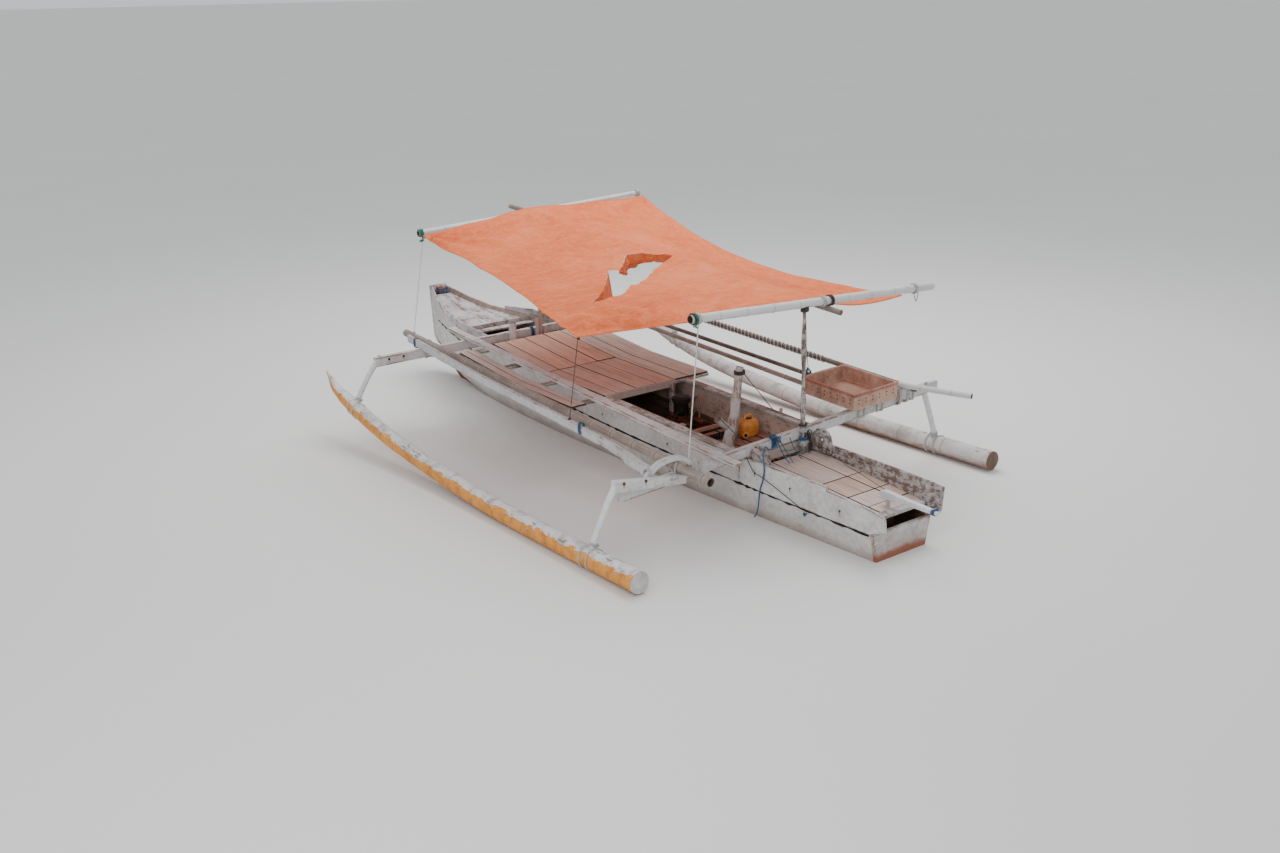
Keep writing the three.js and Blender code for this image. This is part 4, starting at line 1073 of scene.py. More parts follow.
def lay_timbers():
    """The loose timbers, one piece for each finish."""
    finishes = {"deck": FLOOR_RED, "white": FLAKED, "bare": BARE}
    for kind, finish in finishes.items():
        made = [
            block(low, high, seed=seed)
            for seed, (low, high, name) in enumerate(WELL_TIMBERS) if name == kind
        ]
        piece(f"well_timbers_{kind}", made, [finish], "deck_wood")


# Cross beams
FORE_BEAM = {"y": 1.554, "top": 0.790, "reach": 1.676}
AFT_BEAM = {"y": -2.040, "top": 0.590, "rise": 0.05, "port": -1.6, "starboard": 1.86}
BEAM_WIDE, BEAM_HIGH = 0.060, 0.085
# The chock on the aft beam: where its foot begins and ends
CHOCK = {"foot": ((1.325, -2.055, 0.6), (1.468, -2.055, 0.6)), "half": 0.045, "high": 0.112}


def aft_top(x):
    return AFT_BEAM["top"] + AFT_BEAM["rise"] * x


def make_beams():
    """Both cross beams, and the chock on the aft one."""
    reach = FORE_BEAM["reach"]
    beams = {
        "fore": [(x, FORE_BEAM["y"], FORE_BEAM["top"]) for x in (-reach, reach)],
        "aft": [(x, AFT_BEAM["y"], aft_top(x)) for x in (AFT_BEAM["port"], AFT_BEAM["starboard"])],
    }
    rows = [slab(foot, ABOARD, CHOCK["half"], 0, CHOCK["high"]) for foot in CHOCK["foot"]]
    chock = plank(rows, *WORN["chock"], seed=3)
    for seed, (name, tops) in enumerate(beams.items(), 1):
        rows = [slab(top, ABOARD, BEAM_WIDE / 2, -BEAM_HIGH, 0) for top in tops]
        parts = [plank(rows, *WORN["beam"], seed)]
        if name == "aft":
            parts.append(chock)
        piece(f"{name}_beam_timber", parts, [BEAM], "beam_paint", f"{name}_beam")


# Both floats. Columns: y, centre z, radius
FLOAT_X = 1.9
FLOAT_LINE = [
    (-2.665, 0.095, 0.082),
    (-1.600, 0.083, 0.078),
    (-0.700, 0.088, 0.076),
    (0.240, 0.150, 0.073),
    (0.900, 0.222, 0.071),
    (1.400, 0.312, 0.069),
    (1.750, 0.395, 0.062),
    (1.960, 0.462, 0.044),
    (2.118, 0.590, 0.009),
]


def make_floats():
    finishes = {"starboard": [FLOAT_STARBOARD, END_WOOD], "port": [FLOAT_PORT, BEAM]}
    for seed, (side, sign) in enumerate(SIDES.items()):
        path = smooth_path([(sign * FLOAT_X, y, z) for y, z, _ in FLOAT_LINE], 0.06)
        run = distances(path)
        radii = [(d, interpolate(FLOAT_LINE, p.y)[1]) for d, p in zip(run, path)]
        part = tube(path, radii, 28, 0.035, seed)
        piece(f"float_{side}_pole", [part], finishes[side], "float_paint", f"float_{side}")


def float_height(y):
    path = smooth_path([(0, *row[:2]) for row in FLOAT_LINE], 0.03)
    return min(path, key=lambda p: abs(p.y - y)).z


END_PIECE_Y = -2.0983
# Columns: name, top x, y, top z
LEGS = [
    ("leg_fore_starboard", 1.645, FORE_BEAM["y"], 0.755),
    ("leg_fore_port", -1.645, FORE_BEAM["y"], 0.755),
    ("leg_aft_starboard", 1.690, AFT_BEAM["y"], 0.640),
    ("leg_aft_port", -1.660, END_PIECE_Y, 0.580),
]
LEG_THICK = [(0, 0.027), (0.2, 0.024), (1, 0.027)]  # columns: how far down, radius
LEG_RISE, LEG_SINK, LEG_OUT = 0.012, 0.03, 0.004  # its top, and its foot in the float
LEG_BOW = (0.012, 0.006, 0)  # how far its middle bends out and forward
LASHING = 0.004  # the radius of the cord that ties poles, legs and floats
FLOAT_TIES = (-0.045, 0.045)  # before and behind each leg


def make_legs():
    for seed, (name, x, y, z) in enumerate(LEGS):
        sign = math.copysign(1, x)
        top = Vector((x, y, z + LEG_RISE))
        foot = Vector((sign * (FLOAT_X + LEG_OUT), y, float_height(y) + LEG_SINK))
        bow = Vector(LEG_BOW) * Vector((sign, 1, 1))
        path = smooth_path([top, top.lerp(foot, 0.3) + bow, top.lerp(foot, 0.7) + bow, foot], 0.04)
        leg = tube(path, LEG_THICK, 16, 0.12, seed)
        piece(f"{name}_pole", [leg], [POLE_WHITE, END_WOOD], "beam_paint", name)
        bound, radius = top.lerp(foot, 0.86), LEG_THICK[-1][1]
        cords = [wraps(bound, foot - top, ABOARD, (radius, radius), 3, LASHING, seed=seed)]
        for shift in FLOAT_TIES:
            centre = Vector((sign * FLOAT_X, y + shift, float_height(y + shift)))
            reach = interpolate(FLOAT_LINE, y + shift)[1]
            cords.append(wraps(centre, ABOARD, UP, (reach, reach), 2, LASHING, seed=seed + 9))
        piece(f"{name}_lashing", cords, [CORD_WHITE], "rope")


# Poles that lie along the boat on both beams.
# Columns: name, x fore, x aft, y fore end, y aft end, radius, finish, slot
POLES = [
    ("bamboo_port", -1.120, -1.052, 1.960, -2.420, 0.036, BAMBOO, "bamboo"),
    ("bamboo_starboard", 0.960, 0.900, 1.800, -2.110, 0.022, BAMBOO, "bamboo"),
    ("pole_starboard_middle", 1.110, 1.120, 1.820, -2.100, 0.020, BAMBOO_DARK, "dark_wood"),
    ("pole_starboard_outer", 1.540, 1.500, 1.860, -2.130, 0.024, BAMBOO_DARK, "dark_wood"),
]
FORE_REST_Y = FORE_BEAM["y"] - BEAM_WIDE / 2
AFT_REST_Y = AFT_BEAM["y"] - BEAM_WIDE / 2
GAP = 0.0003
FLAT = math.cos(math.pi / 12)  # from a faceted pole's middle to its flats, in radii


def rest_line(x_fore, x_aft, reach=0.0, aft_rest=AFT_REST_Y):
    """The line on which a piece rests on both beams, as a function of y. The aft beam's
    top is taken at reach to starboard of x_aft, where it is higher."""
    fore = Vector((x_fore, FORE_REST_Y, FORE_BEAM["top"] + GAP))
    aft = Vector((x_aft, aft_rest, aft_top(x_aft + reach) + GAP))
    return lambda y: fore.lerp(aft, (y - FORE_REST_Y) / (aft_rest - FORE_REST_Y))


# The lacing round one of the poles
LACING = {"pole": "pole_starboard_outer", "fore": 0.657, "aft": -1.040, "pitch": 0.052}


def lay_poles():
    beams = {FORE_BEAM["y"]: lambda x: FORE_BEAM["top"], AFT_BEAM["y"]: aft_top}
    ties = []
    for seed, (name, x_fore, x_aft, y_fore, y_aft, radius, finish, slot) in enumerate(POLES):
        line = rest_line(x_fore, x_aft)
        lift = Vector((0, 0, radius * FLAT + 2 * GAP))
        fore, aft = line(y_fore) + lift, line(y_aft) + lift
        pole = bamboo(fore, aft, radius * 0.97, 0.2, 18, radius * 0.22, seed)
        piece(f"{name}_pole", [pole], [finish, DARK], slot, name)
        for y, top in beams.items():
            x = line(y).x
            ties += cross_lashing((x, y, top(x)), radius, (BEAM_WIDE / 2, BEAM_HIGH))
        if name == LACING["pole"]:
            middle = line((LACING["fore"] + LACING["aft"]) / 2) + lift
            turns = (LACING["fore"] - LACING["aft"]) / LACING["pitch"]
            reach = (radius, radius)
            ties.append(wraps(middle, aft - fore, UP, reach, turns, LASHING, LACING["pitch"]))
    piece("pole_lashings", ties, [CORD_WHITE], "rope")


def resting(rows, line, **how):
    """A plank on the beams. Columns of a row: y, x, half width, height."""
    made = [slab((x, y, line(y).z), ACROSS, half, 0, high) for y, x, half, high in rows]
    return plank(made, **how)


RAIL_END = AFT_BEAM["y"] + BEAM_WIDE / 2 - 0.004
RAIL_REST = (-1.19, -1.29, 0.02, RAIL_END)
# Columns: y, x, half width, height
RAIL = [
    (RAIL_END, -1.286, 0.028, 0.086),
    (-1.900, -1.274, 0.028, 0.084),
    (-1.700, -1.246, 0.028, 0.082),
    (-1.665, -1.240, 0.026, 0.080),
    (-1.640, -1.232, 0.016, 0.078),
    (-1.490, -1.217, 0.014, 0.076),
    (-0.870, -1.208, 0.014, 0.075),
    (0.300, -1.228, 0.014, 0.075),
    (1.100, -1.216, 0.014, 0.075),
    (1.795, -1.190, 0.014, 0.070),
]
# The knee over the bamboo. Columns: x, z
KNEE_LINE = [
    (-1.350, 0.548),
    (-1.245, 0.620),
    (-1.150, 0.642),
    (-1.050, 0.639),
    (-0.975, 0.608),
    (-0.915, 0.560),
]
STRINGER = [(-2.3, -0.67, 0.048, 0.03), (1.9, -0.67, 0.048, 0.03)]
KNEE_WIDE, KNEE_HIGH = 0.048, 0.044
SHORT_POLE = {
    "aft": (1.590, -2.650, 0.725), "fore": (1.345, -1.985, 0.739), "radius": 0.0245,
    "wall": 0.005, "nodes": (0.3, 0.6),
}


def lay_rails():
    """What lies along the port side, its knee over the bamboo, and the short pole."""
    line = rest_line(STRINGER[0][1], STRINGER[1][1], STRINGER[0][2])
    stringer = resting(STRINGER, line, wobble=0.004, chips=0.008, seed=4)
    piece("stringer_plank", [stringer], [BEAM], "beam_paint", "stringer_port")
    rail = resting(RAIL, rest_line(*RAIL_REST), wobble=0.003, chips=0.006, seed=5)
    piece("rail_plank", [rail], [RAIL_WHITE], "beam_paint", "rail_port")
    path = smooth_path([(x, AFT_BEAM["y"], z) for x, z in KNEE_LINE], 0.03)
    rows = []
    for i, point in enumerate(path):
        out = heading(path, i).cross(ABOARD).normalized()
        rows.append(slab(point, ABOARD, KNEE_WIDE / 2, -KNEE_HIGH / 2, KNEE_HIGH / 2, out))
    knee = plank(rows, *WORN["knee"], seed=6)
    piece("beam_knee_timber", [knee], [KNEE_WHITE], "beam_paint", "beam_knee_port")
    path = straight(SHORT_POLE["fore"], SHORT_POLE["aft"], 0.1)
    nodes, wall = SHORT_POLE["nodes"], SHORT_POLE["wall"]
    pole = tube(path, SHORT_POLE["radius"], 18, 0.04, 3, nodes=nodes, open_ends=wall)
    piece("short_pole_bamboo", [pole], [BAMBOO_WHITE, DARK], "bamboo", "short_pole_starboard")


# Sunshade
SPARS = {
    "fore": {"port": (-1.170, 1.502, 1.880), "starboard": (1.380, 1.502, 1.985), "radius": 0.026},
    "aft": {"port": (-0.960, -2.096, 1.690), "starboard": (1.680, -2.096, 1.548), "radius": 0.034},
}
# The ridge pole lies on the fore spar and under the aft one: its radius, the x where it
# crosses each, its gap to them, and the share of its length that stands past them
RIDGE = {"radius": 0.024, "fore": -0.06, "aft": 0.43, "gap": 0.0019, "past": 0.04}
CLOTH_UP = 0.0063  # the sheet's height over the ridge pole


def on_spar(name, x):
    port, starboard = (Vector(SPARS[name][end]) for end in ("port", "starboard"))
    return port.lerp(starboard, (x - port.x) / (starboard.x - port.x))


def ridge_ends():
    points = []
    for name, way in (("fore", UP), ("aft", DOWN)):
        apart = (RIDGE["radius"] + SPARS[name]["radius"]) * FLAT + RIDGE["gap"]
        points.append(on_spar(name, RIDGE[name]) + way * apart)
    fore, aft = points
    return fore.lerp(aft, -RIDGE["past"]), fore.lerp(aft, 1 + RIDGE["past"])


RIDGE_FORE, RIDGE_AFT = ridge_ends()


def over_ridge(y):
    share = (y - RIDGE_FORE.y) / (RIDGE_AFT.y - RIDGE_FORE.y)
    return RIDGE_FORE.lerp(RIDGE_AFT, share) + UP * (RIDGE["radius"] + CLOTH_UP)


# The aft pole is two stems that wind round each other: x at foot and head, how far each
# stem is from the middle, its radius, and the turn from foot to head
AFT_POLE = {"foot": 0.205, "head": 0.195, "apart": 0.0095, "radius": 0.0125, "turn": 7.5, "steps": 59}
# Upright sticks. Columns: piece, node, x, y, radius, finish, seed, sides, lumps
STICKS = [
    ("pole_fore_stick", "pole_fore", 0.118, 1.502, 0.019, BARE, 0, 18, 0.05),
    ("bitt_post_wood", "bitt_post", -0.222, 1.485, 0.0355, BEAM, 5, 22, 0.08),
]


def raise_spars():
    """All that carries the cloth: spars, ridge and poles, and the bitt post."""
    for seed, (name, spar) in enumerate(SPARS.items()):
        pole = bamboo(spar["port"], spar["starboard"], spar["radius"] * 0.96, 0.12, 20, 0.006, seed)
        piece(f"spar_{name}_pole", [pole], [BAMBOO_WHITE, DARK], "bamboo", f"spar_{name}")
    ridge = tube(straight(RIDGE_FORE, RIDGE_AFT, 0.1), RIDGE["radius"] - 0.0005, 18, 0.05)
    piece("ridge_pole_bamboo", [ridge], [BAMBOO, END_WOOD], "bamboo", "ridge_pole")
    low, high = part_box("pole_aft")
    steps = AFT_POLE["steps"]
    strands = []
    for phase in (0, math.pi):
        points = []
        for share in spaced(0, 1, 1 / steps):
            turn = phase + share * AFT_POLE["turn"]
            x = AFT_POLE["foot"] + (AFT_POLE["head"] - AFT_POLE["foot"]) * share
            middle = Vector((x, (low.y + high.y) / 2, low.z + (high.z - low.z) * share))
            points.append(middle + Vector((math.cos(turn), math.sin(turn), 0)) * AFT_POLE["apart"])
        strands.append(tube(points, AFT_POLE["radius"], 10, 0.15, phase))
    piece("pole_aft_strands", strands, [FLAKED, END_WOOD], "bare_wood", "pole_aft")
    for name, node, x, y, radius, finish, seed, sides, lumps in STICKS:
        low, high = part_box(node)
        stick = tube(straight((x, y, low.z), (x, y, high.z), 0.1), radius, sides, lumps, seed)
        piece(name, [stick], [finish, END_WOOD], "bare_wood", node)


# The cloth. Columns of an edge: share of the way across, point
FORE_EDGE = [(0, -1.150, 1.440, 1.862), (0.5, *over_ridge(1.440)), (1, 1.370, 1.440, 1.955)]
AFT_EDGE = [
    (0, -1.450, -1.370, 1.500),
    (0.2, -0.930, -2.040, 1.652),
    (0.5, *over_ridge(-2.040)),
    (1, 1.370, -2.040, 1.508),
]
SLACK = {"drop": 0.160, "hollow": 0.120, "aft": 0.050}
CLOTH_WIDE, CLOTH_LONG = 2.55, 3.52
HEM_RADIUS = 0.0055
CLOTH_SHARP = 80  # degrees: folds are shaded smooth up to here
# The torn hole on the flat sheet, in metres across and along it
TEAR = [
    (0.731, 1.945),
    (0.799, 1.993),
    (1.041, 1.685),
    (1.149, 1.730),
    (1.184, 1.839),
    (1.239, 1.885),
    (1.251, 1.959),
    (1.010, 2.105),
    (0.679, 2.442),
    (0.649, 2.431),
    (0.483, 2.637),
    (0.430, 2.639),
    (0.257, 2.792),
]
# Torn flaps that hang from the hole's edge. Columns: across, along, how far it hangs
FLAPS = {
    "fore": [
        (0.795, 1.990, 0.010),
        (0.930, 1.830, 0.110),
        (1.041, 1.690, 0.135),
        (1.149, 1.733, 0.090),
        (1.186, 1.838, 0.055),
        (1.241, 1.884, 0.085),
        (1.251, 1.950, 0.004),
    ],
    "port": [(0.730, 1.948, 0.300), (0.490, 2.372, 0.170), (0.262, 2.784, 0.004)],
}
FLAP_SWING = Vector((0.12, -0.10, -1.0))
FLAP_RAGS = (26, 0.18)  # scale along its end, share of its length
FLAP_FOLDS = (15, 1.2, 0.05)  # scale along and down, depth
# How far the sheet's long sides run in, the dips in its fore edge, how deep it sags
SIDES_IN, DIPS, DIP_DEPTH, SAG = 0.022, 5, 0.008, 0.03
RIPPLES = [(1.6, 0.02), (5, 0.006)]  # columns: scale, height
HELD = 0.1  # the width, along its ends, in which folds and ripples flatten
# Where folds run out from a held corner: share across, share along, height, reach, count
TENSION = [
    (0.0, 0.0, 0.030, 0.95, 7),
    (1.0, 0.0, 0.022, 0.65, 6),
    (0.0, 1.0, 0.026, 0.70, 7),
    (0.2, 1.0, 0.024, 0.60, 8),
    (1.0, 1.0, 0.018, 0.60, 7),
    (0.5, 0.0, 0.012, 0.50, 8),
]


def cloth_flat(u, v):
    """The sheet's plain form. To starboard of the ridge it hangs down and inwards."""
    point = Vector(interpolate(FORE_EDGE, u)).lerp(Vector(interpolate(AFT_EDGE, u)), v)
    out = max(0.0, u - 0.5) * 2
    middle = math.sin(math.pi * v)
    point.x -= SLACK["hollow"] * out * middle
    point.z -= SLACK["drop"] * out * middle + SLACK["aft"] * math.sin(math.pi * out) * v**3
    return point


def cloth_point(u, v):
    """A point of the sheet: its plain form, the sag, and the folds from its corners."""
    slack = math.sin(math.pi * v) * SIDES_IN
    u_in = slack + u * (1 - 2 * slack)
    hem = DIP_DEPTH * math.sin(math.pi * ((u * DIPS) % 1)) * (1 - v) ** 6
    point = cloth_flat(u_in, min(1, v + hem))
    half = (u * 2) % 1 if u < 1 else 0
    point += DOWN * SAG * math.sin(math.pi * half) * math.sin(math.pi * min(1, v + 0.12))
    lift = 0.0
    for place_u, place_v, high, reach, count in TENSION:
        away = Vector(((u - place_u) * CLOTH_WIDE, (v - place_v) * CLOTH_LONG))
        distance = away.length
        turn = math.atan2(away.y, away.x)
        fade = math.exp(-distance / reach) * min(1, distance / 0.12)
        wave = math.sin(turn * count * 2 + 0.7 * math.sin(distance * 3))
        lift += high * fade * wave
    flat = Vector((u * CLOTH_WIDE, v * CLOTH_LONG, 0))
    lift += sum(noise.noise(flat * scale) * high for scale, high in RIPPLES)
    held = min(1, (v * CLOTH_LONG) / HELD) * min(1, (1 - v) * CLOTH_LONG / HELD)
    return point + UP * lift * (0.3 + 0.7 * held)


def tear_outline():
    """The hole's ragged outline on the flat sheet."""
    draw = random.Random(7)
    corners = [Vector(place) for place in TEAR]
    outline = []
    for a, b in zip(corners, corners[1:] + corners[:1]):
        parts = max(2, round((b - a).length / 0.045))
        side = Vector((-(b - a).y, (b - a).x)).normalized()
        for i in range(parts):
            jag = draw.uniform(-0.007, 0.007) if i else 0
            outline.append(a.lerp(b, i / parts) + side * jag)
    return outline


def torn_flap(rows, seed):
    """A strip of cloth that hangs from the hole's edge, with folds down its length."""
    line = [(Vector(row[:2]), row[2]) for row in rows]
    edge = [(d, p.x, p.y, hang) for d, (p, hang) in zip(distances([p for p, _ in line]), line)]
    width = edge[-1][0]
    rag_scale, rag_share = FLAP_RAGS
    fold_along, fold_down, fold_deep = FLAP_FOLDS
    part = new_part()
    bmesh.ops.create_grid(part, x_segments=40, y_segments=10, size=0.5)
    for vert in part.verts:
        along, down = (vert.co.x + 0.5) * width, 0.5 - vert.co.y
        x, y, hang = interpolate(edge, along)
        ragged = 1 + rag_share * noise.noise(Vector((along * rag_scale, seed, 0)))
        fold = noise.noise(Vector((along * fold_along, down * fold_down, seed))) * fold_deep * down
        vert.co = cloth_point(x / CLOTH_WIDE, y / CLOTH_LONG)
        vert.co += FLAP_SWING * hang * down * ragged + Vector((fold, -fold, 0))
    lay_uv(part, lambda face, loop: loop.vert.co.yz)
    thicken(part)
    return part


def inside(outline, point):
    """Whether a flat point lies in the outline."""
    odd = False
    for a, b in zip(outline, outline[1:] + outline[:1]):
        if (a.y > point.y) != (b.y > point.y):
            if point.x < a.x + (point.y - a.y) / (b.y - a.y) * (b.x - a.x):
                odd = not odd
    return odd


def cut_hole(part, outline):
    """Cuts flat faces along the outline and takes out what lies inside it."""
    for a, b in zip(outline, outline[1:] + outline[:1]):
        middle, reach = (a + b) / 2, (b - a).length / 2 + 0.05
        near = [
            face for face in part.faces
            if (face.calc_center_median().to_2d() - middle).length < reach
        ]
        geometry = {g for face in near for g in (face, *face.edges, *face.verts)}
        run = b - a
        bmesh.ops.bisect_plane(
            part, geom=list(geometry), plane_co=a.to_3d(), plane_no=Vector((-run.y, run.x, 0)),
        )
    gone = [face for face in part.faces if inside(outline, face.calc_center_median().to_2d())]
    bmesh.ops.delete(part, geom=gone, context="FACES")


def spread_cloth():
    """The sheet, cut flat and then laid over the ridge, with its hems and torn flaps."""
    part = new_part()
    bmesh.ops.create_grid(
        part, x_segments=96, y_segments=124, size=0.5,
        matrix=Matrix.Diagonal((CLOTH_WIDE, CLOTH_LONG, 1, 1)),
    )
    bmesh.ops.translate(part, vec=(CLOTH_WIDE / 2, CLOTH_LONG / 2, 0), verts=part.verts)
    outline = tear_outline()
    cut_hole(part, outline)
    lay_uv(part, lambda face, loop: loop.vert.co.to_2d())
    for vert in part.verts:
        vert.co = cloth_point(vert.co.x / CLOTH_WIDE, vert.co.y / CLOTH_LONG)
    thicken(part)
    cloth = piece("canopy_cloth", [part], [TARP], "tarp", "canopy", sharp=CLOTH_SHARP)
    edges = [[(side, v) for v in spaced(0, 1, 0.012)] for side in (0, 1)]
    edges += [[(u, end) for u in spaced(0, 1, 0.016)] for end in (0, 1)]
    hems = [tube([cloth_point(u, v) for u, v in edge], HEM_RADIUS, 8, 0.25) for edge in edges]
    hem = piece("canopy_hem", hems, [TARP, TARP], "tarp")
    torn = [torn_flap(rows, seed) for seed, rows in enumerate(FLAPS.values())]
    # The flaps take the darker tarp: painted shade.
    flaps = piece("canopy_flaps", torn, [TARP_SHADED], "tarp", sharp=CLOTH_SHARP)


# The crooked post: points of its stem and its limb
STEM = [
    (-0.074, -1.520, 0.3745),
    (-0.030, -1.520, 0.560),
    (0.010, -1.510, 0.760),
    (0.062, -1.500, 1.022),
]
LIMB = [(-0.020, -1.518, 0.530), (-0.110, -1.508, 0.560), (-0.178, -1.500, 0.628)]
# Columns: how far along, radius
STEM_RADII = [(0, 0.057), (0.19, 0.05), (0.4, 0.041), (0.67, 0.034)]
LIMB_RADII = [(0, 0.029), (0.1, 0.03), (0.2, 0.036)]


def set_crook_post():
    stem = tube(smooth_path(STEM, 0.03), STEM_RADII, 22, 0.28, 3)
    limb = tube(smooth_path(LIMB, 0.02), LIMB_RADII, 20, 0.2, 8)
    piece("crook_post_wood", [stem, limb], [POST, END_WOOD], "bare_wood", "crook_post")


# Engine. Its castings. Columns: lower corner, upper corner
CASTINGS = [
    ((-0.130, -0.940, 0.080), (0.140, -0.630, 0.250)),
    ((-0.090, -0.860, 0.240), (0.100, -0.660, 0.372)),
    ((-0.060, -0.900, 0.120), (0.060, -0.860, 0.330)),
    ((0.070, -0.715, 0.300), (0.190, -0.560, 0.400)),
    ((0.060, -0.720, 0.200), (0.150, -0.600, 0.310)),
    ((0.128, -0.940, 0.140), (0.190, -0.800, 0.168)),
    ((0.128, -0.940, 0.376), (0.190, -0.800, 0.400)),
]
# The cylinder's fins and the radiator's plates: their corners in place, and how thick
FINS = {"low": (-0.106, -0.876), "high": (0.116, -0.644), "z": (0.262, 0.284, 0.306, 0.328, 0.350)}
PLATES = {"x": (0.142, 0.190), "z": (0.150, 0.392), "y": (-0.930, -0.904, -0.878, -0.852, -0.826)}
FIN_THICK, PLATE_THICK = 0.008, 0.012
WHEEL_HIGH = 0.230
WHEELS = [(0.128, -0.635, -0.585), (0.046, -0.590, -0.560)]  # columns: radius, y from, y to
# Pipes and hoses. Columns: finish, radius, points
PIPES = [
    ("rust", 0.020, [
        (-0.080, -0.720, 0.318), (-0.116, -0.724, 0.322), (-0.122, -0.760, 0.370),
        (-0.122, -0.800, 0.384),
    ]),
    ("rust", 0.033, [(-0.122, -0.780, 0.384), (-0.122, -0.935, 0.384)]),
    ("pale", 0.009, [
        (0.205, -0.690, 0.400), (0.228, -0.720, 0.520), (0.236, -0.760, 0.575),
        (0.222, -0.800, 0.500), (0.214, -0.810, 0.400),
    ]),
    ("pale", 0.007, [
        (0.190, -0.745, 0.390), (0.212, -0.775, 0.470), (0.198, -0.830, 0.430),
        (0.170, -0.860, 0.404),
    ]),
    ("black", 0.011, [
        (0.090, -0.690, 0.402), (0.030, -0.740, 0.452), (-0.040, -0.780, 0.430),
        (-0.070, -0.850, 0.350), (-0.050, -0.885, 0.300),
    ]),
    ("black", 0.008, [
        (0.130, -0.710, 0.410), (0.080, -0.780, 0.440), (0.070, -0.840, 0.410),
        (0.110, -0.880, 0.404),
    ]),
    ("black", 0.006, [
        (-0.030, -0.660, 0.372), (-0.050, -0.700, 0.420), (-0.100, -0.760, 0.425),
        (-0.130, -0.830, 0.424),
    ]),
    ("black", 0.012, [
        (0.150, -0.870, 0.390), (0.140, -0.960, 0.360), (0.060, -1.010, 0.250),
        (0.020, -1.010, 0.120),
    ]),
]
CLEANER_PLACE = (0.150, -0.640)
# The air cleaner's outline, with its wide lid. Columns: height over its foot, radius
CLEANER_OUTLINE = [
    (0, 0.066), (0.004, 0.070), (0.030, 0.070), (0.034, 0.064), (0.098, 0.064), (0.106, 0.080),
    (0.136, 0.084), (0.150, 0.080), (0.152, 0.060), (0.158, 0.058), (0.1597, 0.020),
]
# The tiller from its inner end to its outer. Columns: y, bottom z, top z
TILLER_WIDE = 0.046
TILLER_ROWS = [
    (-3.125, 0.381, 0.436),
    (-3.160, 0.380, 0.446),
    (-3.245, 0.380, 0.444),
    (-3.262, 0.394, 0.442),
    (-3.660, 0.398, 0.424),
]
# The cord round the tiller's outer end, and its knot
TILLER_TIE = {
    "centre": (0, -3.628, 0.411), "half": (0.014, 0.024), "knot": (0.012, -3.636, 0.430),
    "size": 0.016,
}


def fit_engine():
    castings = [block(low, high, 0.008, seed) for seed, (low, high) in enumerate(CASTINGS)]
    for z in FINS["z"]:
        castings.append(block((*FINS["low"], z), (*FINS["high"], z + FIN_THICK), 0.001))
    (x0, x1), (z0, z1) = PLATES["x"], PLATES["z"]
    for y in PLATES["y"]:
        castings.append(block((x0, y, z0), (x1, y + PLATE_THICK, z1), 0.001))
    for radius, *ends in WHEELS:
        castings.append(tube([Vector((0, y, WHEEL_HIGH)) for y in ends], radius, 36))
    piece("engine_castings", castings, [RUST, RUST], "engine_iron", "engine_block")
    kinds = {"rust": RUST_BRIGHT, "pale": PIPE_PALE, "black": BLACK}
    for kind, finish in kinds.items():
        pipes = [
            tube(smooth_path(points, 0.012), radius, 12, 0.08)
            for name, radius, points in PIPES if name == kind
        ]
        piece(f"engine_pipes_{kind}", pipes, [finish, finish], "engine_iron")
    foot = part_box("engine_air_cleaner")[0].z
    path = [Vector((*CLEANER_PLACE, foot + d)) for d, _ in CLEANER_OUTLINE]
    cleaner = tube(path, CLEANER_OUTLINE, 36)
    piece("air_cleaner_body", [cleaner], [BLACK, BLACK], "engine_iron", "engine_air_cleaner")


def fit_tiller():
    rows = [slab((0, y, 0), ACROSS, TILLER_WIDE / 2, low, high) for y, low, high in TILLER_ROWS]
    bar = plank(rows, *WORN["tiller"], seed=8)
    piece("tiller_bar", [bar], [POLE_WHITE], "beam_paint", "tiller", body="rudder")
    tie = wraps(TILLER_TIE["centre"], ABOARD, UP, TILLER_TIE["half"], 4, LASHING, square=0.8)
    end = knot(TILLER_TIE["knot"], TILLER_TIE["size"], LASHING)
    piece("tiller_tie", [tie, end], [ROPE_BLUE], "rope", body="rudder")


# Crate and can. The crate's rim and holes follow its sloping floor.
CRATE_RIM = {"high": 0.024, "out": 0.007}
CRATE_SLOPE = (0.0271, 0.04)  # across the boat and along it
# Rows of holes: how far below the rim, how far apart, how far in from a corner, radius
CRATE_HOLES = {"down": (0.055, 0.085), "step": 0.075, "in": 0.05, "radius": 0.006}
CAN_PLACE = (0.226, -1.424)
CAN_SIDES = 28
# Columns: height, half width, half depth
CAN_SECTIONS = [
    (0.000, 0.070, 0.048),
    (0.006, 0.080, 0.056),
    (0.030, 0.090, 0.064),
    (0.105, 0.090, 0.064),
    (0.128, 0.084, 0.058),
    (0.146, 0.066, 0.044),
    (0.152, 0.054, 0.034),
]


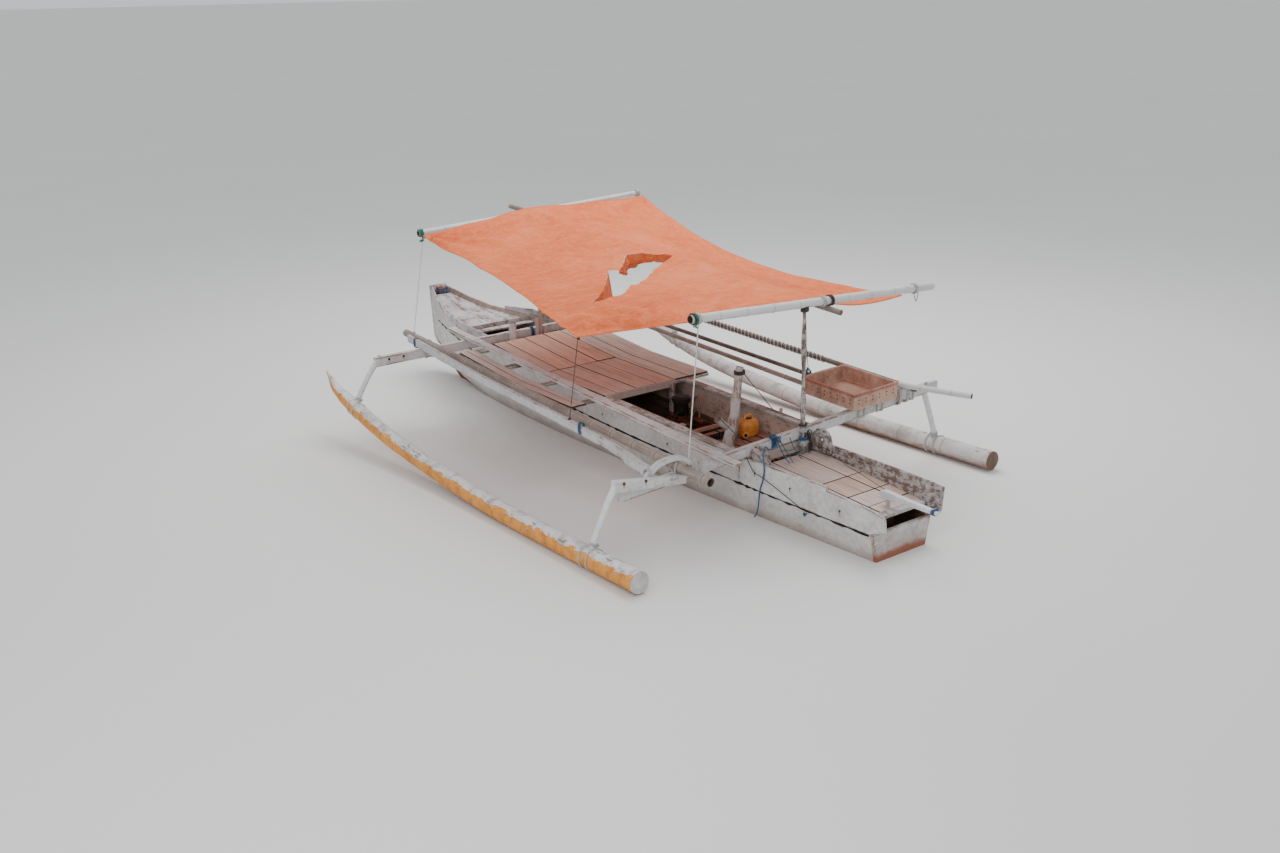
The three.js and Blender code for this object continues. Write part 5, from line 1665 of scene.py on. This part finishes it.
def crate_rim():
    """A raised band round the crate's top, and rows of small black discs below it: painted shade where
    the holes are.
    """
    low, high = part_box("crate")
    out, tall = CRATE_RIM["out"], CRATE_RIM["high"]
    slope_x, slope_y = CRATE_SLOPE

    def point(x, y, down):
        return Vector((x, y, high.z - (high.x - x) * slope_x - (high.y - y) * slope_y - down))

    corners = [(low.x, low.y), (high.x, low.y), (high.x, high.y), (low.x, high.y)]
    bands, holes = [], []
    for (x0, y0), (x1, y1) in zip(corners, corners[1:] + corners[:1]):
        run = Vector((x1 - x0, y1 - y0)).normalized()
        side = Vector((run.y, -run.x)) * out
        rows = []
        for x, y in ((x0, y0), (x1, y1)):
            outer, inner = (x + side.x, y + side.y), (x - side.x * 0.2, y - side.y * 0.2)
            rows.append([point(*inner, tall), point(*outer, tall), point(*outer, 0), point(*inner, 0)])
        bands.append(plank(rows, *WORN["crate"]))
        length = math.hypot(x1 - x0, y1 - y0)
        normal = Vector((run.y, -run.x, 0))
        for down in CRATE_HOLES["down"]:
            for place in spaced(CRATE_HOLES["in"], length - CRATE_HOLES["in"], CRATE_HOLES["step"]):
                start = point(x0 + run.x * place, y0 + run.y * place, down)
                ends = [start - normal * 0.002, start + normal * 0.0012]
                holes.append(tube(ends, CRATE_HOLES["radius"], 10))
    return bands, holes


# The can's handle: its foot's height, half its length, its rise, its radius
GRIP_UP, GRIP_HALF, GRIP_HIGH, GRIP_RADIUS = 0.150, 0.048, 0.026, 0.011
# A black disc in the hollow below the handle: painted shade
RECESS = {"radius": 0.030, "high": 0.0035, "scale": (1.25, 0.8, 1)}
# The can's spout: where it leaves the can, and which way
NECK, NECK_WAY = (-0.060, -0.044, 0.044), (-0.70, -0.70, -0.05)
# Spout, lip and mouth; the mouth is a black disc, painted shade inside the spout. Columns: from and to
# along the spout, radius, sides
SPOUT_PARTS = [(0, 0.045, 0.019, 20), (0.036, 0.050, 0.024, 20), (0.049, 0.0505, 0.015, 16)]


def load_gear():
    """The crate's rim and holes, and the fuel can."""
    bands, holes = crate_rim()
    piece("crate_rim", bands, [CRATE_RIM_RED], "crate_plastic")
    # The holes are black discs: painted shade.
    piece("crate_hole_shade", holes, [BLACK, BLACK], "crate_plastic")
    foot = Vector((*CAN_PLACE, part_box("fuel_can")[0].z))
    turns = [bulged((k + 0.5) / CAN_SIDES * math.tau, 0.5) for k in range(CAN_SIDES)]
    rings = [
        [foot + Vector((half_x * c, half_y * s, z)) for c, s in turns]
        for z, half_x, half_y in CAN_SECTIONS
    ]
    can, flat = new_part(), [0] * CAN_SIDES
    skin(can, rings, flat, flat, [row[0] for row in CAN_SECTIONS])
    grip, rise = foot + UP * GRIP_UP, UP * GRIP_HIGH
    start, end = grip - ACROSS * GRIP_HALF, grip + ACROSS * GRIP_HALF
    bow = [start, start.lerp(end, 0.2) + rise, start.lerp(end, 0.8) + rise, end]
    handle = tube(smooth_path(bow, 0.008), GRIP_RADIUS, 12)
    neck, away = foot + Vector(NECK), Vector(NECK_WAY).normalized()
    spout, lip, mouth = (
        tube([neck + away * low, neck + away * high], radius, sides)
        for low, high, radius, sides in SPOUT_PARTS
    )
    parts = [can, handle, spout, lip]
    piece("fuel_can_body", parts, [CAN, CAN], "can_plastic", "fuel_can", sharp=60)
    recess = tube([grip, grip + UP * RECESS["high"]], RECESS["radius"], 20)
    space = Matrix.Translation(-grip)
    bmesh.ops.scale(recess, vec=RECESS["scale"], space=space, verts=recess.verts)
    # Black discs in the handle's hollow and the spout's mouth: painted shade.
    piece("fuel_can_opening_shade", [recess, mouth], [BLACK, BLACK], "can_plastic")


# The stays keep the frame's own meshes. Columns: node, cord
STAYS = {"stay_aft_port": "white", "stay_fore_port": "white", "stay_corner_port": "dark"}
# Cord wound round a joint. Columns: cord, centre, axis, reach up and reach across, turns
BINDINGS = [
    ("white", (-0.905, -2.040, 0.524), ACROSS, (0.068, 0.034), 7),
    ("white", (-0.838, -2.040, 0.506), ACROSS, (0.045, 0.033), 4),
    ("white", (-1.330, -2.040, 0.560), ACROSS, (0.056, 0.034), 3),
    ("green", (-1.145, 1.502, 1.881), ACROSS, (0.027, 0.027), 5),
    ("white", (-0.100, 1.502, 1.924), ACROSS, (0.027, 0.027), 4),
    ("white", (-0.015, 1.502, 1.928), ACROSS, (0.027, 0.027), 4),
    ("white", (1.350, 1.502, 1.984), ACROSS, (0.027, 0.027), 5),
    ("dark", (-0.935, -2.096, 1.689), ACROSS, (0.035, 0.035), 2),
    ("green", (-0.915, -2.096, 1.688), ACROSS, (0.035, 0.035), 2),
    ("white", (-0.890, -2.096, 1.687), ACROSS, (0.035, 0.035), 3),
    ("white", (0.385, -2.096, 1.617), ACROSS, (0.035, 0.035), 3),
    ("dark", (0.470, -2.096, 1.613), ACROSS, (0.035, 0.035), 4),
    ("white", (1.455, -2.096, 1.560), ACROSS, (0.035, 0.035), 3),
    ("dark", (0.196, -2.096, 1.585), UP, (0.024, 0.024), 5),
    ("white", (0.204, -2.096, 0.600), UP, (0.024, 0.024), 4),
    ("dark", (0.203, -2.096, 0.640), UP, (0.024, 0.024), 2),
    ("blue", (0.205, -2.096, 0.530), UP, (0.024, 0.024), 3),
    ("white", (0.205, -2.096, 0.490), UP, (0.024, 0.024), 5),
    ("dark", (0.058, -1.501, 0.975), UP, (0.036, 0.036), 4),
    ("white", (1.345, -2.055, 0.644), ACROSS, (0.071, 0.048), 4),
    ("white", (1.440, -2.055, 0.650), ACROSS, (0.071, 0.048), 4),
    ("blue", (-0.090, -2.040, 0.543), ACROSS, (0.046, 0.034), 6),
    ("blue", (0.036, 1.554, 0.748), ACROSS, (0.046, 0.034), 4),
    ("blue", (1.115, -1.230, 0.708), ABOARD, (0.023, 0.023), 3),
    ("blue", (-1.211, -1.045, 0.655), ABOARD, (0.044, 0.018), 4),
    ("blue", (-1.195, 1.640, 0.828), ABOARD, (0.040, 0.018), 3),
    ("blue", (0.000, 3.270, 0.900), UP, (0.075, 0.098), 3),
]
# Pulled knots. Columns: cord, centre, size
KNOTS = [
    ("white", (-0.922, -2.078, 0.560), 0.022),
    ("green", (-1.140, 1.478, 1.848), 0.026),
    ("green", (-1.150, 1.476, 1.815), 0.022),
    ("green", (-0.930, -2.120, 1.648), 0.026),
    ("dark", (-1.436, -1.368, 1.494), 0.012),
    ("dark", (-1.203, -0.872, 0.690), 0.014),
    ("white", (-1.124, 1.800, 0.884), 0.014),
    ("blue", (-0.049, -2.080, 0.570), 0.026),
    ("blue", (-0.082, -2.082, 0.590), 0.030),
    ("blue", (-0.118, -2.080, 0.608), 0.024),
    ("blue", (1.125, -1.215, 0.742), 0.018),
    ("blue", (-0.372, -2.712, 0.214), 0.014),
    ("white", (-1.645, 1.520, 0.800), 0.016),
    ("white", (1.690, -2.080, 0.690), 0.016),
    ("dark", (0.094, -1.500, 0.972), 0.014),
    ("white", (0.225, -2.122, 0.505), 0.018),
    ("dark", (0.262, -2.100, 0.560), 0.030),
    ("dark", (0.250, -2.104, 0.530), 0.026),
]
# Taut cords. Columns: cord, radius, points
LINES = [
    ("green", 0.0030, [(0.217, -2.060, 1.580), (1.115, -1.232, 0.735)]),
    ("dark", 0.0035, [(0.090, -1.500, 0.975), (0.452, -1.519, 0.550)]),
    ("dark", 0.0035, [(-0.172, -1.502, 0.640), (-0.330, -2.006, 0.578)]),
    ("dark", 0.0035, [
        (-0.385, -2.074, 0.500), (-0.404, -2.190, 0.406), (-0.404, -2.270, 0.394),
        (-0.386, -2.668, 0.262),
    ]),
    ("dark", 0.0025, [(0.226, -2.110, 0.520), (0.130, -2.600, 0.480), (0.006, -3.150, 0.446)]),
    ("dark", 0.0070, [(0.262, -2.092, 0.560), (0.272, -2.116, 0.480), (0.258, -2.126, 0.414)]),
    ("dark", 0.0060, [(0.244, -2.092, 0.555), (0.246, -2.124, 0.480), (0.230, -2.140, 0.412)]),
    ("blue", 0.0040, [(-0.062, -2.082, 0.560), (-0.070, -2.150, 0.480), (-0.060, -2.219, 0.412)]),
    ("blue", 0.0035, [(-0.030, -2.080, 0.555), (-0.020, -2.150, 0.470), (-0.025, -2.225, 0.412)]),
    ("blue", 0.0035, [(0.075, -2.078, 0.560), (0.070, -2.140, 0.480), (0.082, -2.215, 0.412)]),
    ("green", 0.0035, [(-0.066, -2.140, 0.492), (0.070, -2.144, 0.484), (0.184, -2.100, 0.520)]),
    ("green", 0.0035, [(-0.064, -2.180, 0.448), (0.074, -2.180, 0.446), (0.190, -2.110, 0.490)]),
    ("blue", 0.0030, [(1.443, -2.110, 1.520), (1.470, -2.112, 1.450), (1.500, -2.108, 1.525)]),
]
# Bolt heads. Columns: centre on the timber's face, the way it faces, radius
BOLTS = [
    ((-1.613, -2.129, 0.594), -ABOARD, 0.012),
    ((-1.413, -2.129, 0.568), -ABOARD, 0.012),
    ((-1.548, 1.523, 0.760), -ABOARD, 0.012),
    ((-1.398, 1.523, 0.761), -ABOARD, 0.012),
    ((1.560, 1.523, 0.755), -ABOARD, 0.010),
    ((-0.404, -2.192, 0.404), -ACROSS, 0.006),
    ((-0.467, -1.199, 0.400), -ACROSS, 0.006),
    ((-0.466, -0.300, 0.440), -ACROSS, 0.006),
    ((-0.466, 0.700, 0.500), -ACROSS, 0.006),
    ((-0.385, -2.560, 0.380), -ACROSS, 0.006),
    ((-0.360, -3.050, 0.340), -ACROSS, 0.006),
]
STREAK = 0.034  # how far rust has run down below a bolt
STREAK_RADII = [(0, 0.0028), (STREAK, 0.0010)]
BOLT_IN, BOLT_OUT, STREAK_OUT = 0.006, 0.003, 0.0005  # from the timber's face
PEG = ((0.453, -1.576, 0.520), (0.460, -1.576, 0.600))
PEG_RADII = [(0, 0.010), (0.06, 0.012), (0.08, 0.016)]
TIE_CORD = 0.0042  # the radius of the cord in bindings and knots


def rig_stays():
    """Every tie and taut cord, one piece for each colour, and the bolts and the peg."""
    cords = {"white": CORD_WHITE, "green": CORD_GREEN, "blue": CORD_BLUE, "dark": CORD_DARK}
    for name, cord in STAYS.items():
        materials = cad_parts[name].data.materials
        materials.clear()
        materials.append(cords[cord])
    for name, finish in cords.items():
        made = []
        for seed, (cord, centre, axis, half, turns) in enumerate(BINDINGS):
            if cord == name:
                across = ACROSS if axis is UP else UP
                made.append(wraps(centre, axis, across, half, turns, TIE_CORD, square=0.8, seed=seed))
        for seed, (cord, centre, size) in enumerate(KNOTS):
            if cord == name:
                made.append(knot(centre, size, TIE_CORD, seed))
        for cord, radius, points in LINES:
            if cord == name:
                made.append(tube(smooth_path(points, 0.03), radius, 8, girth=1))
        piece(f"ties_{name}", made, [finish, finish], "rope")
    heads = []
    for centre, way, radius in BOLTS:
        centre = Vector(centre)
        heads.append(tube([centre - way * BOLT_IN, centre + way * BOLT_OUT], radius, 12, 0.1))
        start = centre + way * STREAK_OUT
        run = [start, start + DOWN * STREAK * 0.5, start + DOWN * STREAK]
        heads.append(tube(run, STREAK_RADII, 8, 0.3))
    piece("bolts", heads, [RUST, RUST], "engine_iron")
    peg = tube([Vector(p) for p in PEG], PEG_RADII, 12, 0.1)
    piece("gunwale_peg", [peg], [BARE, END_WOOD], "bare_wood")


# Floor and light
FLOOR_HALF = 500
LAMPS_FACE = Vector((0, 0, 0.4))
# Columns: name, place, size, watts
LAMPS = [
    ("sky_panel", (2.5, 1.5, 8.0), 6.0, 620),
    ("side_panel", (-7.0, -6.0, 5.0), 5.0, 210),
]
SKY, SKY_STRENGTH = "e4e8ec", 0.95


def light_stage():
    floor = bmesh.new()
    bmesh.ops.create_grid(floor, x_segments=1, y_segments=1, size=FLOOR_HALF)
    mesh = bpy.data.meshes.new("floor")
    floor.to_mesh(mesh)
    floor.free()
    f = Finish("floor_pale", 0.9, specular=0.1)
    colour = f.ramp(f.noise(f.place, 0.2, 2), (0.3, "e6e4e1"), (0.7, "e9e7e4"))
    mesh.materials.append(f.done(colour, f.noise(f.place, 3), 0.02, 0.001))
    add_object("floor", mesh)
    for name, place, size, power in LAMPS:
        light = bpy.data.lights.new(name, "AREA")
        light.size, light.energy = size, power
        lamp = add_object(name, light)
        lamp.location = place
        lamp.rotation_euler = (LAMPS_FACE - Vector(place)).to_track_quat("-Z", "Y").to_euler()
    world = bpy.data.worlds.new("sky")
    world.use_nodes = True
    sky = world.node_tree.nodes["Background"].inputs
    sky["Color"].default_value = hue(SKY)
    sky["Strength"].default_value = SKY_STRENGTH
    bpy.context.scene.world = world


set_camera()
hang_rope()
plank_hull()
lay_decks()
dress_forms()
lay_timbers()
make_beams()
make_floats()
make_legs()
lay_poles()
lay_rails()
raise_spars()
spread_cloth()
set_crook_post()
fit_engine()
fit_tiller()
load_gear()
rig_stays()
light_stage()

bpy.context.view_layer.update()
